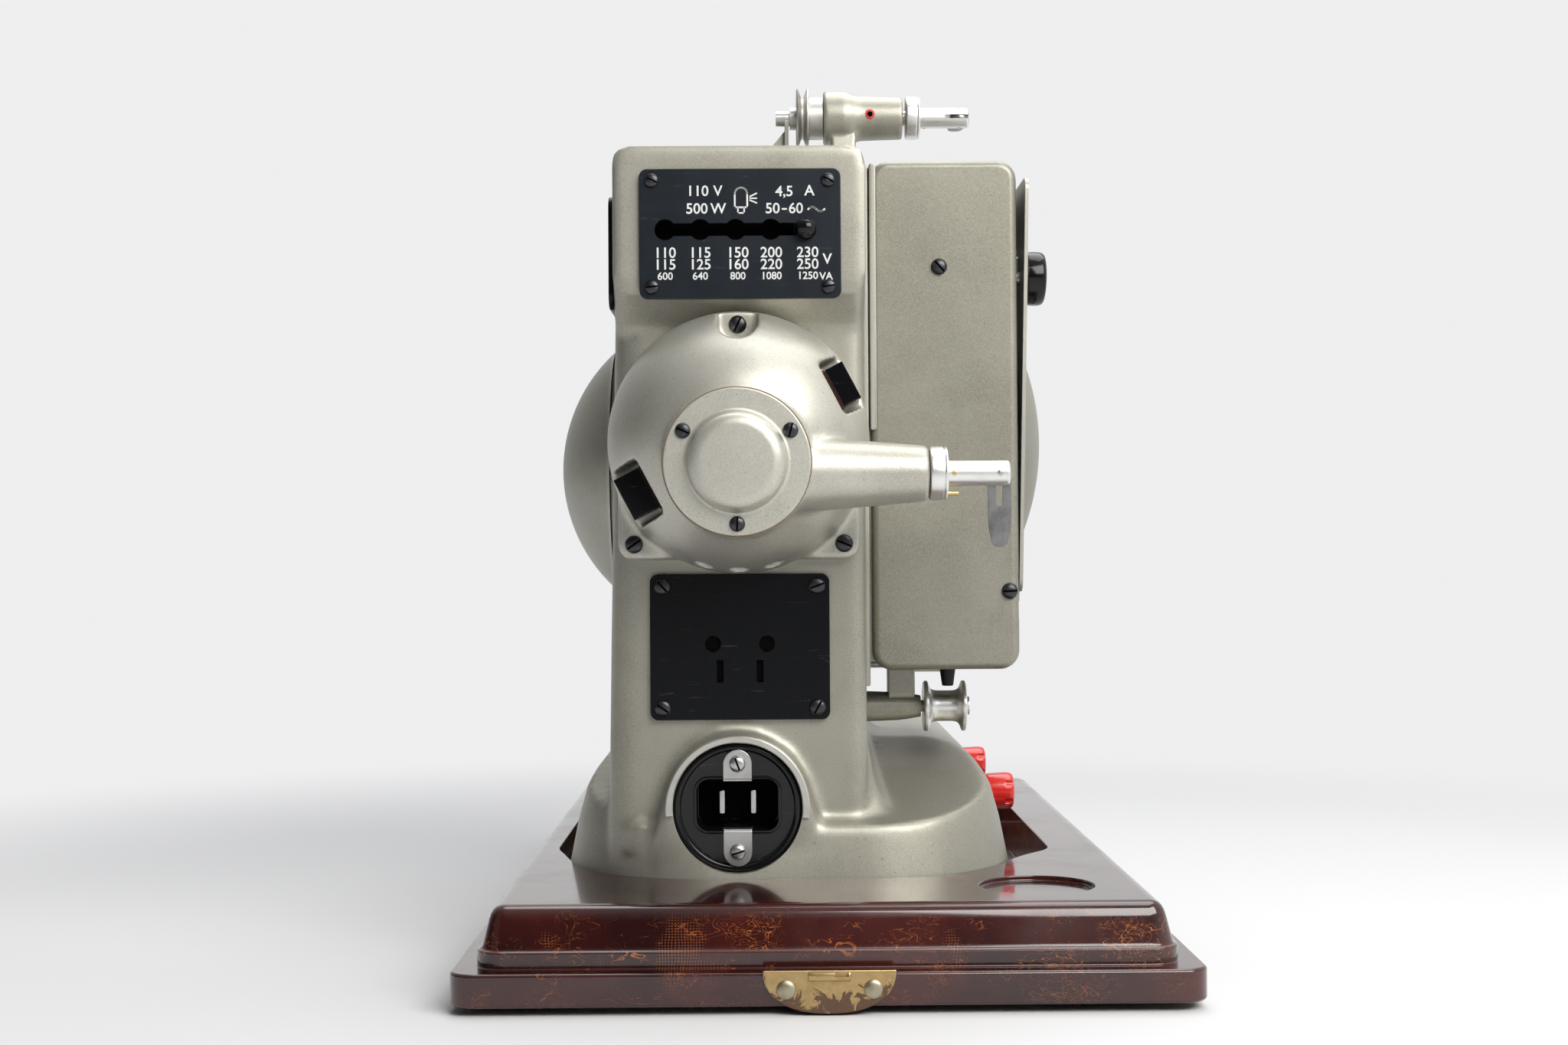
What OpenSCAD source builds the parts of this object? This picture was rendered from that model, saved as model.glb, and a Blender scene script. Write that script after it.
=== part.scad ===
// Small-gauge film projector on the moulded base of its carrying case.
// X points to the operator's (film) side, Y in the direction of projection, Z up.
// The origin is the centre of the base at the height of the table.

/* [Base] */
// Width of the base over its flange
base_w = 224; // [200:1:260]
// Depth of the base over its flange
base_d = 360; // [352:1:400]
// Height of the rubber pads under the base
pad_h = 2.5; // [1.5:0.5:5]
// Height of the outer flange
flange_h = 10; // [6:0.5:12]
// Height of the moulded base above the pads
base_h = 28; // [26:0.5:32]
// How far the raised deck stands in from the flange
deck_inset = 7; // [4:0.5:12]
// Wall of the moulded base
base_wall = 4; // [2.5:0.5:5]
// Width of the well that the pedestal stands in
well_w = 171; // [166:1:176]
// Diameter of the round recess in the deck
recess_dia = 36; // [24:1:40]
// Width of a brass catch plate
catch_w = 39; // [30:1:50]

/* [Main casting] */
// Width of the tower
tower_w = 82; // [78:1:86]
// Depth of the tower below its upper box
tower_d = 122; // [118:1:126]
// Height of the tower's top above the table
tower_top = 267; // [262:1:275]
// How far the upper box stands out to the rear
box_overhang = 9; // [6:0.5:12]
// Height of the upper box
box_h = 50; // [48:0.5:54]
// Wall of the casting
cast_wall = 3; // [2:0.5:4]
// Width of the pedestal foot
foot_w = 151; // [144:1:156]
// Depth of the pedestal foot
foot_d = 250; // [240:1:256]
// Height of the pedestal's shoulder above the table
shoulder_z = 67.5; // [64:0.5:72]
// Radius of the ball that forms the left cover
cover_ball_r = 57; // [54:1:64]

/* [Motor and gearbox] */
// Radius of the motor dome
dome_r = 42.7; // [41:0.1:44]
// Wall of the motor dome
dome_wall = 3; // [2:0.5:4]
// Radius of the round gearbox cover
gear_cover_r = 22.7; // [21.5:0.1:24]
// Radius of the boss on the gearbox cover
gear_boss_r = 15.4; // [12:0.1:17]
// Radius of the motor's shaft
motor_shaft_r = 3; // [2.5:0.1:3.5]
// Radius of the motor's stator
stator_r = 35; // [32:0.5:35.5]
// Radius of the motor's rotor
rotor_r = 19.4; // [17:0.1:20]
// Radius of the cooling fan
fan_r = 30; // [26:0.5:34]
// Width of the cooling fan over its vanes
fan_w = 18; // [12:0.5:20]
// Radius of a reel spindle
spindle_r = 4; // [3.8:0.1:4.2]
// Length of a reel spindle beyond its collar
spindle_len = 19.6; // [18:0.1:24]
// Radius of the collar that a reel rests on
collar_r = 8.4; // [7:0.1:10]

/* [Rear panels] */
// Width of the voltage plate
volt_w = 65; // [60:1:70]
// Height of the voltage plate
volt_h = 42; // [38:1:44]
// Distance between two voltage positions
volt_step = 11.35; // [10:0.05:11.4]
// Width of the socket plate
sock_w = 58.5; // [54:0.5:62]
// Height of the socket plate
sock_h = 47.5; // [44:0.5:50]
// Radius of the mains inlet
inlet_r = 20.8; // [19.5:0.1:22]

/* [Lamphouse] */
// Width of the lamphouse
lamp_w = 49.6; // [44:0.2:54]
// Depth of the lamphouse
lamp_d = 83; // [76:1:85]
// Height of the lamphouse
lamp_h = 171.6; // [160:0.2:176]
// Wall of the lamphouse
lamp_wall = 1.5; // [1:0.1:2.5]
// Angle at which the door stands ajar
door_ajar = 1.3; // [0.5:0.1:4]
// Height of the door's dome
door_bulge = 9.2; // [4:0.2:12]
// Radius of the lamp's glass tube
bulb_r = 13; // [10:0.5:15]
// Radius of the lamp's cap
cap_r = 12.4; // [10:0.2:12.4]
// Height of the lamp's glass tube below its dome
bulb_h = 92; // [80:1:110]

/* [Optics and film path] */
// Height of the optical axis
axis_z = 171; // [168:0.5:174]
// Radius of the lens barrel
lens_r = 14; // [11:0.5:16]
// Length of the lens barrel
lens_len = 52; // [40:1:60]
// Radius of a sprocket at the film
sprocket_r = 7.3; // [6.5:0.1:8.5]
// Number of teeth on a sprocket
sprocket_teeth = 12; // [8:1:16]
// Radius of the film guide roller's flanges
roller_r = 8.8; // [7:0.1:10]

/* [Feed arm] */
// Height of the feed spindle above the table
feed_z = 307; // [300:1:312]
// Radius of the feed pulley
pulley_r = 11.8; // [10:0.2:14]

/* [Controls] */
// Radius of a red control knob
knob_r = 6.7; // [5.5:0.1:7.5]
// Distance between the two red knobs
knob_gap = 100; // [80:1:110]

/* [Fits] */
// Radial clearance of a running fit
run_fit = 0.05; // [0.02:0.01:0.08]
// Gap left between plain faces that move past each other
slip = 0.3; // [0.2:0.05:0.5]

/* [Hidden] */
$fn = 64;
SKIN = 0.01;
deck_z = pad_h + base_h;
well_x = -6.5;
well_floor_z = pad_h + 10;
well_rear_y = -50;
well_front_y = 150;
foot_x = -10.5;
foot_rear_y = -120;
foot_y = foot_rear_y + foot_d / 2;
foot_r = 50;
tower_x0 = -67;
tower_x1 = tower_x0 + tower_w;
tower_y0 = -110;
tower_y1 = tower_y0 + tower_d;
box_z0 = tower_top - box_h;
box_y0 = tower_y0 - box_overhang;
corner_r = 4.5;
motor_x = -26.5;
spindle_z = axis_z - 11.5;
spindle_y = -142.4;
gear_z = 163;
gear_y0 = -156;
gear_plate = 4.5;
boss_h = 5;
dome_y = -112;
cover_y = -45;
cover_z = gear_z + 1.5;
cover_rise = 23;
cover_seat_x = tower_x0 - 3.6;
cover_ball_x = tower_x0 + cover_ball_r - cover_rise;
cover_seat_r = sqrt(cover_ball_r ^ 2 - (cover_ball_x - cover_seat_x) ^ 2);
arm_tip_x = 33;
collar_len = 6;
volt_z = 238;
volt_x = -25.5;
slot_x = volt_x - 1.5;
slot_z = volt_z + 1.3;
panel_t = 2;
sock_z = 104.5;
inlet_z = 52.8;
inlet_x = -27.5;
inlet_y0 = foot_rear_y + 3;
lamp_gap = 2.8;
lamp_x0 = tower_x1 + lamp_gap;
lamp_x1 = lamp_x0 + lamp_w;
lamp_y0 = -91;
lamp_y1 = lamp_y0 + lamp_d;
lamp_z1 = tower_top;
lamp_z0 = lamp_z1 - lamp_h;
lamp_corner = 6;
optic_x = 45;
lamp_y = lamp_y0 + 38;
bulb_z = lamp_z0 + 32;
cap_flange_z = lamp_z0 + 18;
door_z0 = 118.8;
door_z1 = lamp_z1 - 5;
door_t = 1.2;
hinge_x = lamp_x1 - 3.4;
hinge_z = door_z0 + 2.9;
hinge_r = 1.6;
door_y0 = lamp_y0 + 2;
door_y1 = lamp_y1 - 2;
door_bulge_r = (door_y1 - door_y0) / 2 - 1;
bulge_y = (door_y0 + door_y1) / 2;
knob_y = door_y0 + 14;
knob_z = 229;
roller_y = -60;
roller_z = 81;
roller_x0 = 36.9;
roller_len = 14.8;
feed_y = 33;
head_x0 = 5.8;
head_x1 = 37;
pivot_y = tower_y1 + 14;
pivot_z = 238;
pivot_r = 4;
gate_x1 = 62;
gate_y0 = lamp_y1 + 0.5;
gate_y1 = tower_y1;
gate_z0 = axis_z - 47;
gate_z1 = axis_z + 47;
sprocket_y = 4;
upper_z = gate_z1 + 17;
lower_z = gate_z0 - 17;
film_x0 = 38;
shoe_rise = 15;
shoe_pin_r = 1.6;
shutter_x = 8;
shutter_r = 43;
shutter_y = gate_y0 + 12.5;
gear_train_y = shutter_y - 4;
gear_mesh = shutter_x - motor_x;
bridge_y = -28;
holder_x = 19;
holder_y = gate_y1 + 6.5;
red_z = 46.5;
knob_x0 = foot_x + foot_w / 2 - 3;
red_y = -20;
switch_x0 = knob_x0 - 32;
motor_y0 = tower_y0 + 1;
motor_y1 = tower_y0 + 40;
fan_y = motor_y1 + 8;
screw_r = 2.8;
latch_t = 1.3;
latch_hole_r = 0.9;
latch_place = 16;
gear_screw_angles = [30, 150, 270];
dome_screw_places = [[motor_x, axis_z + 38], [motor_x - 34, axis_z - 33], [motor_x + 34, axis_z - 33]];

// Rounded rectangle centred on the origin
module round_rect(w, h, r) {
    square([w - 2 * r, h], center = true);
    square([w, h - 2 * r], center = true);
    for (sx = [-1, 1], sy = [-1, 1])
        translate([sx * (w / 2 - r), sy * (h / 2 - r)]) circle(r);
}

// Block between two corners with the edges along Z, Y or X rounded
module slab_z(a, b, r) {
    translate([(a.x + b.x) / 2, (a.y + b.y) / 2, a.z])
        linear_extrude(b.z - a.z) round_rect(b.x - a.x, b.y - a.y, r);
}
module slab_y(a, b, r) {
    translate([(a.x + b.x) / 2, b.y, (a.z + b.z) / 2]) rotate([90, 0, 0])
        linear_extrude(b.y - a.y) round_rect(b.x - a.x, b.z - a.z, r);
}
module slab_x(a, b, r) {
    translate([a.x, (a.y + b.y) / 2, (a.z + b.z) / 2]) rotate([90, 0, 90])
        linear_extrude(b.x - a.x) round_rect(b.y - a.y, b.z - a.z, r);
}
module block(a, b) {
    translate(a) cube(b - a);
}

// Round bar or cone along one axis, from the lower end upwards
module rod_x(x0, x1, y, z, r, r2 = -1) {
    translate([x0, y, z]) rotate([0, 90, 0]) cylinder(h = x1 - x0, r1 = r, r2 = r2 < 0 ? r : r2);
}
module rod_y(x, y0, y1, z, r, r2 = -1) {
    translate([x, y0, z]) rotate([-90, 0, 0]) cylinder(h = y1 - y0, r1 = r, r2 = r2 < 0 ? r : r2);
}
module rod_z(x, y, z0, z1, r, r2 = -1) {
    translate([x, y, z0]) cylinder(h = z1 - z0, r1 = r, r2 = r2 < 0 ? r : r2);
}
// Profile of radius against length, turned about an axis along X or Y
module turn_x(x, y, z, points) {
    translate([x, y, z]) rotate([0, 90, 0]) rotate_extrude() polygon(points);
}
module turn_y(x, y, z, points) {
    translate([x, y, z]) rotate([-90, 0, 0]) rotate_extrude() polygon(points);
}

// Cheese-head screw whose head faces the rear, with its slot at an angle
module rear_screw(x, y_face, z, r = screw_r, head = 2, shank = 4, slot_angle = 20) {
    difference() {
        union() {
            rod_y(x, y_face - head, y_face, z, r * 0.86, r);
            rod_y(x, y_face - SKIN, y_face + shank, z, r * 0.5);
        }
        translate([x, y_face - head, z]) rotate([0, slot_angle, 0])
            cube([3 * r, head * 0.9, r * 0.28], center = true);
    }
}
module screw_hole(x, y0, y1, z, r = screw_r) {
    rod_y(x, y0, y1, z, r * 0.5 + run_fit);
}

module foot_outline(inset, r) {
    round_rect(foot_w - 2 * inset, foot_d - 2 * inset, r);
}

// Outline of the well: wide beside the pedestal, close round its rear
module well_outline() {
    translate([well_x, (well_rear_y + well_front_y) / 2])
        round_rect(well_w, well_front_y - well_rear_y, 8);
    translate([foot_x, foot_y]) round_rect(foot_w + 2, foot_d + 2, foot_r + 1);
    for (s = [-1, 1]) translate([foot_x + s * (foot_w / 2 - 4), well_rear_y - 9])
        square([16, 22], center = true);
}

module catch_outline() {
    translate([0, 6.3]) square([catch_w - 8, 12.6], center = true);
    translate([0, 9.5]) square([catch_w, 6.2], center = true);
    for (s = [-1, 1]) translate([s * (catch_w / 2 - 6.4), 6.4]) circle(6.4);
}

module base_board() {
    color("#3c1512") difference() {
        union() {
            slab_z([-base_w / 2, -base_d / 2, pad_h], [base_w / 2, base_d / 2, pad_h + flange_h], 8);
            slab_z([-base_w / 2 + deck_inset, -base_d / 2 + deck_inset, pad_h + flange_h - 1],
                   [base_w / 2 - deck_inset, base_d / 2 - deck_inset, pad_h + flange_h + 5], 9);
            hull() {
                slab_z([-base_w / 2 + deck_inset + 1, -base_d / 2 + deck_inset + 1, pad_h + flange_h],
                       [base_w / 2 - deck_inset - 1, base_d / 2 - deck_inset - 1,
                        pad_h + flange_h + 6], 9);
                slab_z([-base_w / 2 + deck_inset + 4, -base_d / 2 + deck_inset + 4, deck_z - 4],
                       [base_w / 2 - deck_inset - 4, base_d / 2 - deck_inset - 4, deck_z - 2.5], 9);
                slab_z([-base_w / 2 + deck_inset + 6, -base_d / 2 + deck_inset + 6, deck_z - 1],
                       [base_w / 2 - deck_inset - 6, base_d / 2 - deck_inset - 6, deck_z], 9);
            }
        }
        difference() {
            slab_z([-base_w / 2 + deck_inset + 6 + base_wall, -base_d / 2 + deck_inset + 6 + base_wall,
                    pad_h - 1],
                   [base_w / 2 - deck_inset - 6 - base_wall, base_d / 2 - deck_inset - 6 - base_wall,
                    deck_z - base_wall], 6);
            slab_z([well_x - well_w / 2 - base_wall, foot_rear_y - 8, pad_h - 2],
                   [well_x + well_w / 2 + base_wall, well_front_y + base_wall, deck_z], 14);
            for (sx = [-1, 1], sy = [-1, 1])
                rod_z(sx * (base_w / 2 - 22), sy * (base_d / 2 - 22), pad_h - 2, deck_z, 9);
        }
        translate([0, 0, well_floor_z]) linear_extrude(base_h) well_outline();
        rod_z(66.5, -136, deck_z - 1.6, deck_z + 1, recess_dia / 2);
        for (y = [foot_y - 70, foot_y + 70])
            rod_z(foot_x, y, pad_h - 1, well_floor_z + 1, 3 + run_fit);
        for (y = [foot_y - 70, foot_y + 70])
            rod_z(foot_x, y, pad_h - 1, pad_h + 4, 6.5);
        for (s = [-1, 1], x = [-1, 1])
            rod_y(x * 12.75, min(s * base_d / 2, s * (base_d / 2 - 8)),
                  max(s * base_d / 2, s * (base_d / 2 - 8)), pad_h + 5.2, 1.5 + run_fit);
    }
}

module base_pads() {
    color("#202020") for (sx = [-1, 1], sy = [-1, 1])
        translate([sx * (base_w / 2 - 22), sy * (base_d / 2 - 22), 0])
            cylinder(h = pad_h, r1 = 8, r2 = 8.8);
}

module base_screws() {
    color("#70706c") for (y = [foot_y - 70, foot_y + 70]) {
        rod_z(foot_x, y, pad_h + 1, pad_h + 4, 5.5);
        rod_z(foot_x, y, pad_h + 4 - SKIN, well_floor_z + 9, 3);
    }
}

// Brass plate on one end of the flange, with the lip that the lid's catch hooks under
module catch_plate(s) {
    color("#b08a45") difference() {
        union() {
            translate([0, s * base_d / 2, pad_h - 1.9]) scale([1, s, 1]) rotate([90, 0, 0])
                translate([0, 0, -1]) linear_extrude(1) catch_outline();
            slab_z([-6.2, min(s * base_d / 2, s * (base_d / 2 + 2.4)), pad_h + 7.8],
                   [6.2, max(s * base_d / 2, s * (base_d / 2 + 2.4)), pad_h + 10.6], 1);
        }
        for (x = [-1, 1]) rod_y(x * 12.75, min(s * base_d / 2, s * (base_d / 2 + 3)) - 1,
                                max(s * base_d / 2, s * (base_d / 2 + 3)) + 1, pad_h + 5.2,
                                1.5 + run_fit);
    }
}
module rear_catch_plate() { catch_plate(-1); }
module front_catch_plate() { catch_plate(1); }

module catch_rivets() {
    color("#b59a5c") for (s = [-1, 1], x = [-1, 1]) {
        rod_y(x * 12.75, min(s * (base_d / 2 - 6), s * (base_d / 2 + 1)),
              max(s * (base_d / 2 - 6), s * (base_d / 2 + 1)) + SKIN, pad_h + 5.2, 1.5);
        translate([x * 12.75, s * (base_d / 2 + 1), pad_h + 5.2]) rotate([-90 * s, 0, 0])
            cylinder(h = 1.3, r1 = 2.9, r2 = 2.2);
    }
}

// Outer form of foot, tower and upper box
module casting_form() {
    translate([foot_x, foot_y, 0]) {
        hull() {
            translate([0, 0, well_floor_z]) linear_extrude(16, $fn = 48) foot_outline(0, foot_r);
            translate([0, 0, shoulder_z - 11]) linear_extrude(1, $fn = 48) foot_outline(6.5, foot_r - 6);
        }
        hull() {
            translate([0, 0, shoulder_z - 11]) linear_extrude(1, $fn = 48) foot_outline(6.5, foot_r - 6);
            translate([0, 0, shoulder_z - 4]) linear_extrude(1, $fn = 48) foot_outline(10, foot_r - 9);
            translate([0, 0, shoulder_z - 1]) linear_extrude(1, $fn = 48) foot_outline(16, foot_r - 14);
        }
    }
    hull() {
        slab_z([tower_x0 - 3.5, tower_y0, well_floor_z + 20],
               [tower_x1, tower_y1, well_floor_z + 30], corner_r, $fn = 32);
        slab_z([tower_x0, tower_y0, box_z0 - 4], [tower_x1, tower_y1, box_z0 - 3.5], corner_r, $fn = 32);
    }
    intersection() {
        slab_z([tower_x0, box_y0, box_z0 - 8], [tower_x1, tower_y1, tower_top + 1], corner_r);
        slab_y([tower_x0, box_y0 - 1, box_z0 - 12], [tower_x1, tower_y1 + 1, tower_top], 5);
        translate([tower_x0 - 1, 0, 0]) rotate([90, 0, 90]) linear_extrude(tower_w + 2)
            polygon([[tower_y0, box_z0 - 8], [tower_y0, box_z0 - 2.8], [box_y0, box_z0 + 2],
                     [box_y0, tower_top - 2], [box_y0 + 2, tower_top + 1], [tower_y1, tower_top + 1],
                     [tower_y1, box_z0 - 8]]);
    }
    intersection() {
        hull() {
            rod_y(inlet_x, inlet_y0 - 0.5, tower_y0 + 2, inlet_z, inlet_r + 2.2, inlet_r + 3.5, $fn = 32);
            rod_y(inlet_x, foot_rear_y + 2, tower_y0 + 2, inlet_z - 13.2, inlet_r + 6, $fn = 32);
        }
        translate([foot_x, foot_y, well_floor_z]) linear_extrude(70) foot_outline(0.2, foot_r);
    }
    for (y = [red_y, red_y + knob_gap]) rod_x(knob_x0 - 12, knob_x0, y, red_z, 9.5, 8.5);
    rod_x(cover_seat_x, tower_x0 + 2, cover_y, cover_z, cover_seat_r);
}

module main_casting() {
    color("#8e8c80") difference() {
        casting_form();
        translate([foot_x, foot_y, well_floor_z - 1]) linear_extrude(shoulder_z - well_floor_z - 8)
            foot_outline(6.5 + cast_wall + 2, foot_r - 12);
        block([tower_x0 + cast_wall, tower_y0 + cast_wall + 3, well_floor_z + 20],
              [tower_x1 - cast_wall, tower_y1 - cast_wall, tower_top - cast_wall]);
        block([tower_x0 + cast_wall, box_y0 + cast_wall, box_z0 + 4],
              [tower_x1 - cast_wall, tower_y1 - cast_wall, tower_top - cast_wall]);
        rod_y(motor_x, box_y0, tower_y0 + 10, axis_z, stator_r + 1);
        rod_y(inlet_x, foot_rear_y - 5, inlet_y0 + 12.1, inlet_z, inlet_r + run_fit);
        rod_y(inlet_x, foot_rear_y - 5, tower_y0 + 20, inlet_z, inlet_r - 4);
        block([slot_x - volt_step * 2 - 5.5, box_y0 - 1, slot_z - 5],
              [slot_x + volt_step * 2 + 5.5, box_y0 + 9, slot_z + 5]);
        block([motor_x - sock_w / 2 + 8, tower_y0 - 1, sock_z - 16],
              [motor_x + sock_w / 2 - 8, tower_y0 + 9, sock_z + 16]);
        block([tower_x0 - 1, box_y0 + 14, tower_top - 50],
              [tower_x0 + cast_wall + 1, box_y0 + 48, tower_top - 20]);
        rod_x(cover_seat_x - 1, tower_x0 + 6, cover_y, cover_z, cover_seat_r - 6);
        block([tower_x1 - cast_wall - 1, gate_y0 + 2, axis_z - shutter_r - 1],
              [tower_x1 + 1, gate_y1 - 4, axis_z + shutter_r + 1]);
        for (z = [upper_z, lower_z]) rod_x(tower_x1 - 8, tower_x1 + 1, sprocket_y, z, 3 + run_fit);
        block([tower_x1 - 8, lamp_y0 + 20, lamp_z0 + 12], [tower_x1 + 1, lamp_y0 + 32, lamp_z0 + 24]);
        for (y = [red_y, red_y + knob_gap]) {
            rod_x(switch_x0, knob_x0 + 1, y, red_z, 3 + run_fit);
            rod_x(knob_x0, knob_x0 + 6, y, red_z, knob_r + 0.5);
        }
        for (z = [upper_z + shoe_rise, lower_z - shoe_rise])
            rod_x(tower_x1 - cast_wall, tower_x1 + 1, sprocket_y + 6, z, shoe_pin_r + run_fit);
        for (sx = [-1, 1], sz = [-1, 1]) {
            screw_hole(volt_x + sx * 28.4, box_y0 - 1, box_y0 + 4, volt_z + sz * 17.2);
            screw_hole(motor_x + sx * 25.2, tower_y0 - 1, tower_y0 + 4, sock_z + sz * 19.8);
        }
        for (p = dome_screw_places) screw_hole(p.x, tower_y0 - 1, tower_y0 + 5, p.y);
    }
}

module bottom_plate() {
    color("#5a5a56") difference() {
        union() {
            translate([foot_x, foot_y, well_floor_z])
                linear_extrude(1.5) foot_outline(cast_wall + 8.6, foot_r - 12.1);
            for (y = [foot_y - 70, foot_y + 70]) rod_z(foot_x, y, well_floor_z, well_floor_z + 12, 7);
        }
        for (y = [foot_y - 70, foot_y + 70])
            rod_z(foot_x, y, well_floor_z - 1, well_floor_z + 11, 3 + run_fit);
    }
}

module side_plate() {
    color("#191a1b") slab_x([tower_x0 - 1.6, box_y0 + 6, box_z0 - 2],
                            [tower_x0 - run_fit, box_y0 + 56, tower_top - 15], 5);
}

// Domed cover of the fan on the left side, cut from a ball
module left_cover() {
    color("#77766a") difference() {
        intersection() {
            translate([cover_ball_x, cover_y, cover_z]) sphere(cover_ball_r, $fn = 96);
            block([tower_x0 - cover_rise - 10, cover_y - 60, cover_z - 60],
                  [cover_seat_x, cover_y + 60, cover_z + 60]);
        }
        translate([cover_ball_x, cover_y, cover_z]) sphere(cover_ball_r - cast_wall, $fn = 96);
    }
}

// Motor dome, cast in one with the gearbox and the take-up arm
module motor_dome() {
    gear_bore = 9.2;
    inner_r = dome_r - dome_wall;
    color("#a09e93") difference() {
        union() {
            turn_y(motor_x, dome_y, axis_z, concat([[0, tower_y0 - dome_y], [dome_r, tower_y0 - dome_y]],
                [for (t = [0:5:90]) [dome_r * cos(t), -dome_r * sin(t)]]));
            rod_y(motor_x, gear_y0 + gear_plate, dome_y - 20, gear_z, gear_cover_r);
            rod_x(motor_x, arm_tip_x, spindle_y, spindle_z, 13.6, collar_r + 0.2);
            for (s = [-1, 1]) hull() {
                rod_y(motor_x + s * 34, tower_y0 - 6, tower_y0, axis_z - 33, 5.2, $fn = 32);
                rod_y(motor_x + s * 20, tower_y0 - 6, tower_y0, axis_z - 33, 5.2, $fn = 32);
                rod_y(motor_x + s * 34, tower_y0 - 6, tower_y0, axis_z - 14, 5.2, $fn = 32);
            }
        }
        turn_y(motor_x, dome_y, axis_z, concat([[0, 3], [inner_r, 3]],
            [for (t = [0:5:20]) [inner_r * cos(t), -inner_r * sin(t)]],
            [[inner_r * cos(20), -16], [0, -16]]));
        rod_y(motor_x, gear_y0 - 1, spindle_y + 10, axis_z, motor_shaft_r + 2);
        rod_y(motor_x, spindle_y + 9, dome_y, axis_z, motor_shaft_r + run_fit);
        rod_y(motor_x, gear_y0 - 1, spindle_y + 10.5, spindle_z, gear_bore);
        rod_y(motor_x, gear_y0 - 8, gear_y0 + gear_plate, gear_z, gear_cover_r + 0.1);
        rod_x(motor_x - 14, arm_tip_x + 1, spindle_y, spindle_z, spindle_r - 1 + run_fit);
        for (a = [27.7, 207.7]) translate([motor_x, 0, axis_z]) rotate([0, -a, 0])
            block([35, -170, -9.5], [60, dome_y - 8, 9.5]);
        hull() {
            rod_y(motor_x, -170, dome_y - 6, axis_z + 38, 6.7, $fn = 32);
            rod_y(motor_x, -170, dome_y - 6, axis_z + 60, 6.7, $fn = 32);
        }
        for (p = dome_screw_places) rod_y(p.x, -120, tower_y0 + 1, p.y, 1.4 + run_fit);
        for (a = [-104, -90, -76]) translate([motor_x, dome_y - 9, axis_z]) rotate([0, -a, 0])
            rod_x(30, 50, 0, 0, 3.4);
        for (a = gear_screw_angles) translate([motor_x, 0, gear_z]) rotate([0, -a, 0])
            translate([19, 0, 0]) rod_y(0, gear_y0, gear_y0 + 12, 0, 1.4 + run_fit);
    }
}

module dome_screws() {
    color("#2a2d33") {
        rear_screw(dome_screw_places[0].x, dome_y - 6, dome_screw_places[0].y, shank = 9);
        for (i = [1, 2]) rear_screw(dome_screw_places[i].x, tower_y0 - 6, dome_screw_places[i].y,
                                    shank = 9, slot_angle = 20 + 90 * i);
    }
}

module brush_caps() {
    color("#151515") for (a = [27.7, 207.7]) translate([motor_x, 0, axis_z]) rotate([0, -a, 0])
        slab_y([35.4, dome_y - 18, -6.6], [41.4, dome_y - 8, 6.6], 1.2);
}

module gearbox_cover() {
    color("#b3b1a6") difference() {
        turn_y(motor_x, gear_y0, gear_z, [[0, 0], [gear_cover_r - 0.8, 0], [gear_cover_r, 0.8],
            [gear_cover_r, gear_plate], [0, gear_plate]]);
        rod_y(motor_x, gear_y0 + gear_plate - 1.2, gear_y0 + gear_plate + 1, axis_z, motor_shaft_r + 2);
        for (a = gear_screw_angles) translate([motor_x, 0, gear_z]) rotate([0, -a, 0])
            translate([19, 0, 0]) rod_y(0, gear_y0 - 1, gear_y0 + gear_plate + 1, 0, 1.4 + run_fit);
    }
    color("#b3b1a6") turn_y(motor_x, gear_y0 - boss_h, gear_z, concat([[0, 0]],
        [for (t = [0:15:90]) [gear_boss_r - 4 + 4 * sin(t), 4 - 4 * cos(t)]],
        [[gear_boss_r, boss_h + SKIN], [0, boss_h + SKIN]]));
}

module gearbox_screws() {
    color("#2a2d33") for (i = [0:2]) {
        a = gear_screw_angles[i];
        rear_screw(motor_x + 19 * cos(a), gear_y0, gear_z + 19 * sin(a), r = 2.4, head = 1.6,
                   shank = 8, slot_angle = 70 * i);
    }
}

module voltage_plate() {
    color("#17191b") difference() {
        slab_y([volt_x - volt_w / 2, box_y0 - panel_t, volt_z - volt_h / 2],
               [volt_x + volt_w / 2, box_y0, volt_z + volt_h / 2], 2.4);
        slab_y([slot_x - volt_step * 2 - 3.6, box_y0 - 5, slot_z - 2.1],
               [slot_x + volt_step * 2 + 3.6, box_y0 + 1, slot_z + 2.1], 2);
        for (i = [-2:2]) rod_y(slot_x + i * volt_step, box_y0 - 5, box_y0 + 1, slot_z, 3.5);
        for (sx = [-1, 1], sz = [-1, 1])
            screw_hole(volt_x + sx * 28.4, box_y0 - 5, box_y0 + 1, volt_z + sz * 17.2);
    }
}
module voltage_screws() {
    color("#2a2d33") for (sx = [-1, 1], sz = [-1, 1])
        rear_screw(volt_x + sx * 28.4, box_y0 - panel_t, volt_z + sz * 17.2, r = 2.55, head = 1.2,
                   shank = 5, slot_angle = 40 + 30 * sx * sz);
}
module voltage_selector() {
    color("#0e0e0f") {
        turn_y(slot_x + 2 * volt_step, box_y0 - panel_t - 5, slot_z, concat([[0, 0]],
            [for (t = [15:15:90]) [3.2 * sin(t), 3.2 - 3.2 * cos(t)]],
            [[3.2, 4.0], [1.8, 4.8], [1.8, 12], [0, 12]]));
        block([slot_x + 2 * volt_step - 4, box_y0 + slip, slot_z - 4],
              [slot_x + 2 * volt_step + 4, box_y0 + 2.6, slot_z + 4]);
    }
}

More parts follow.
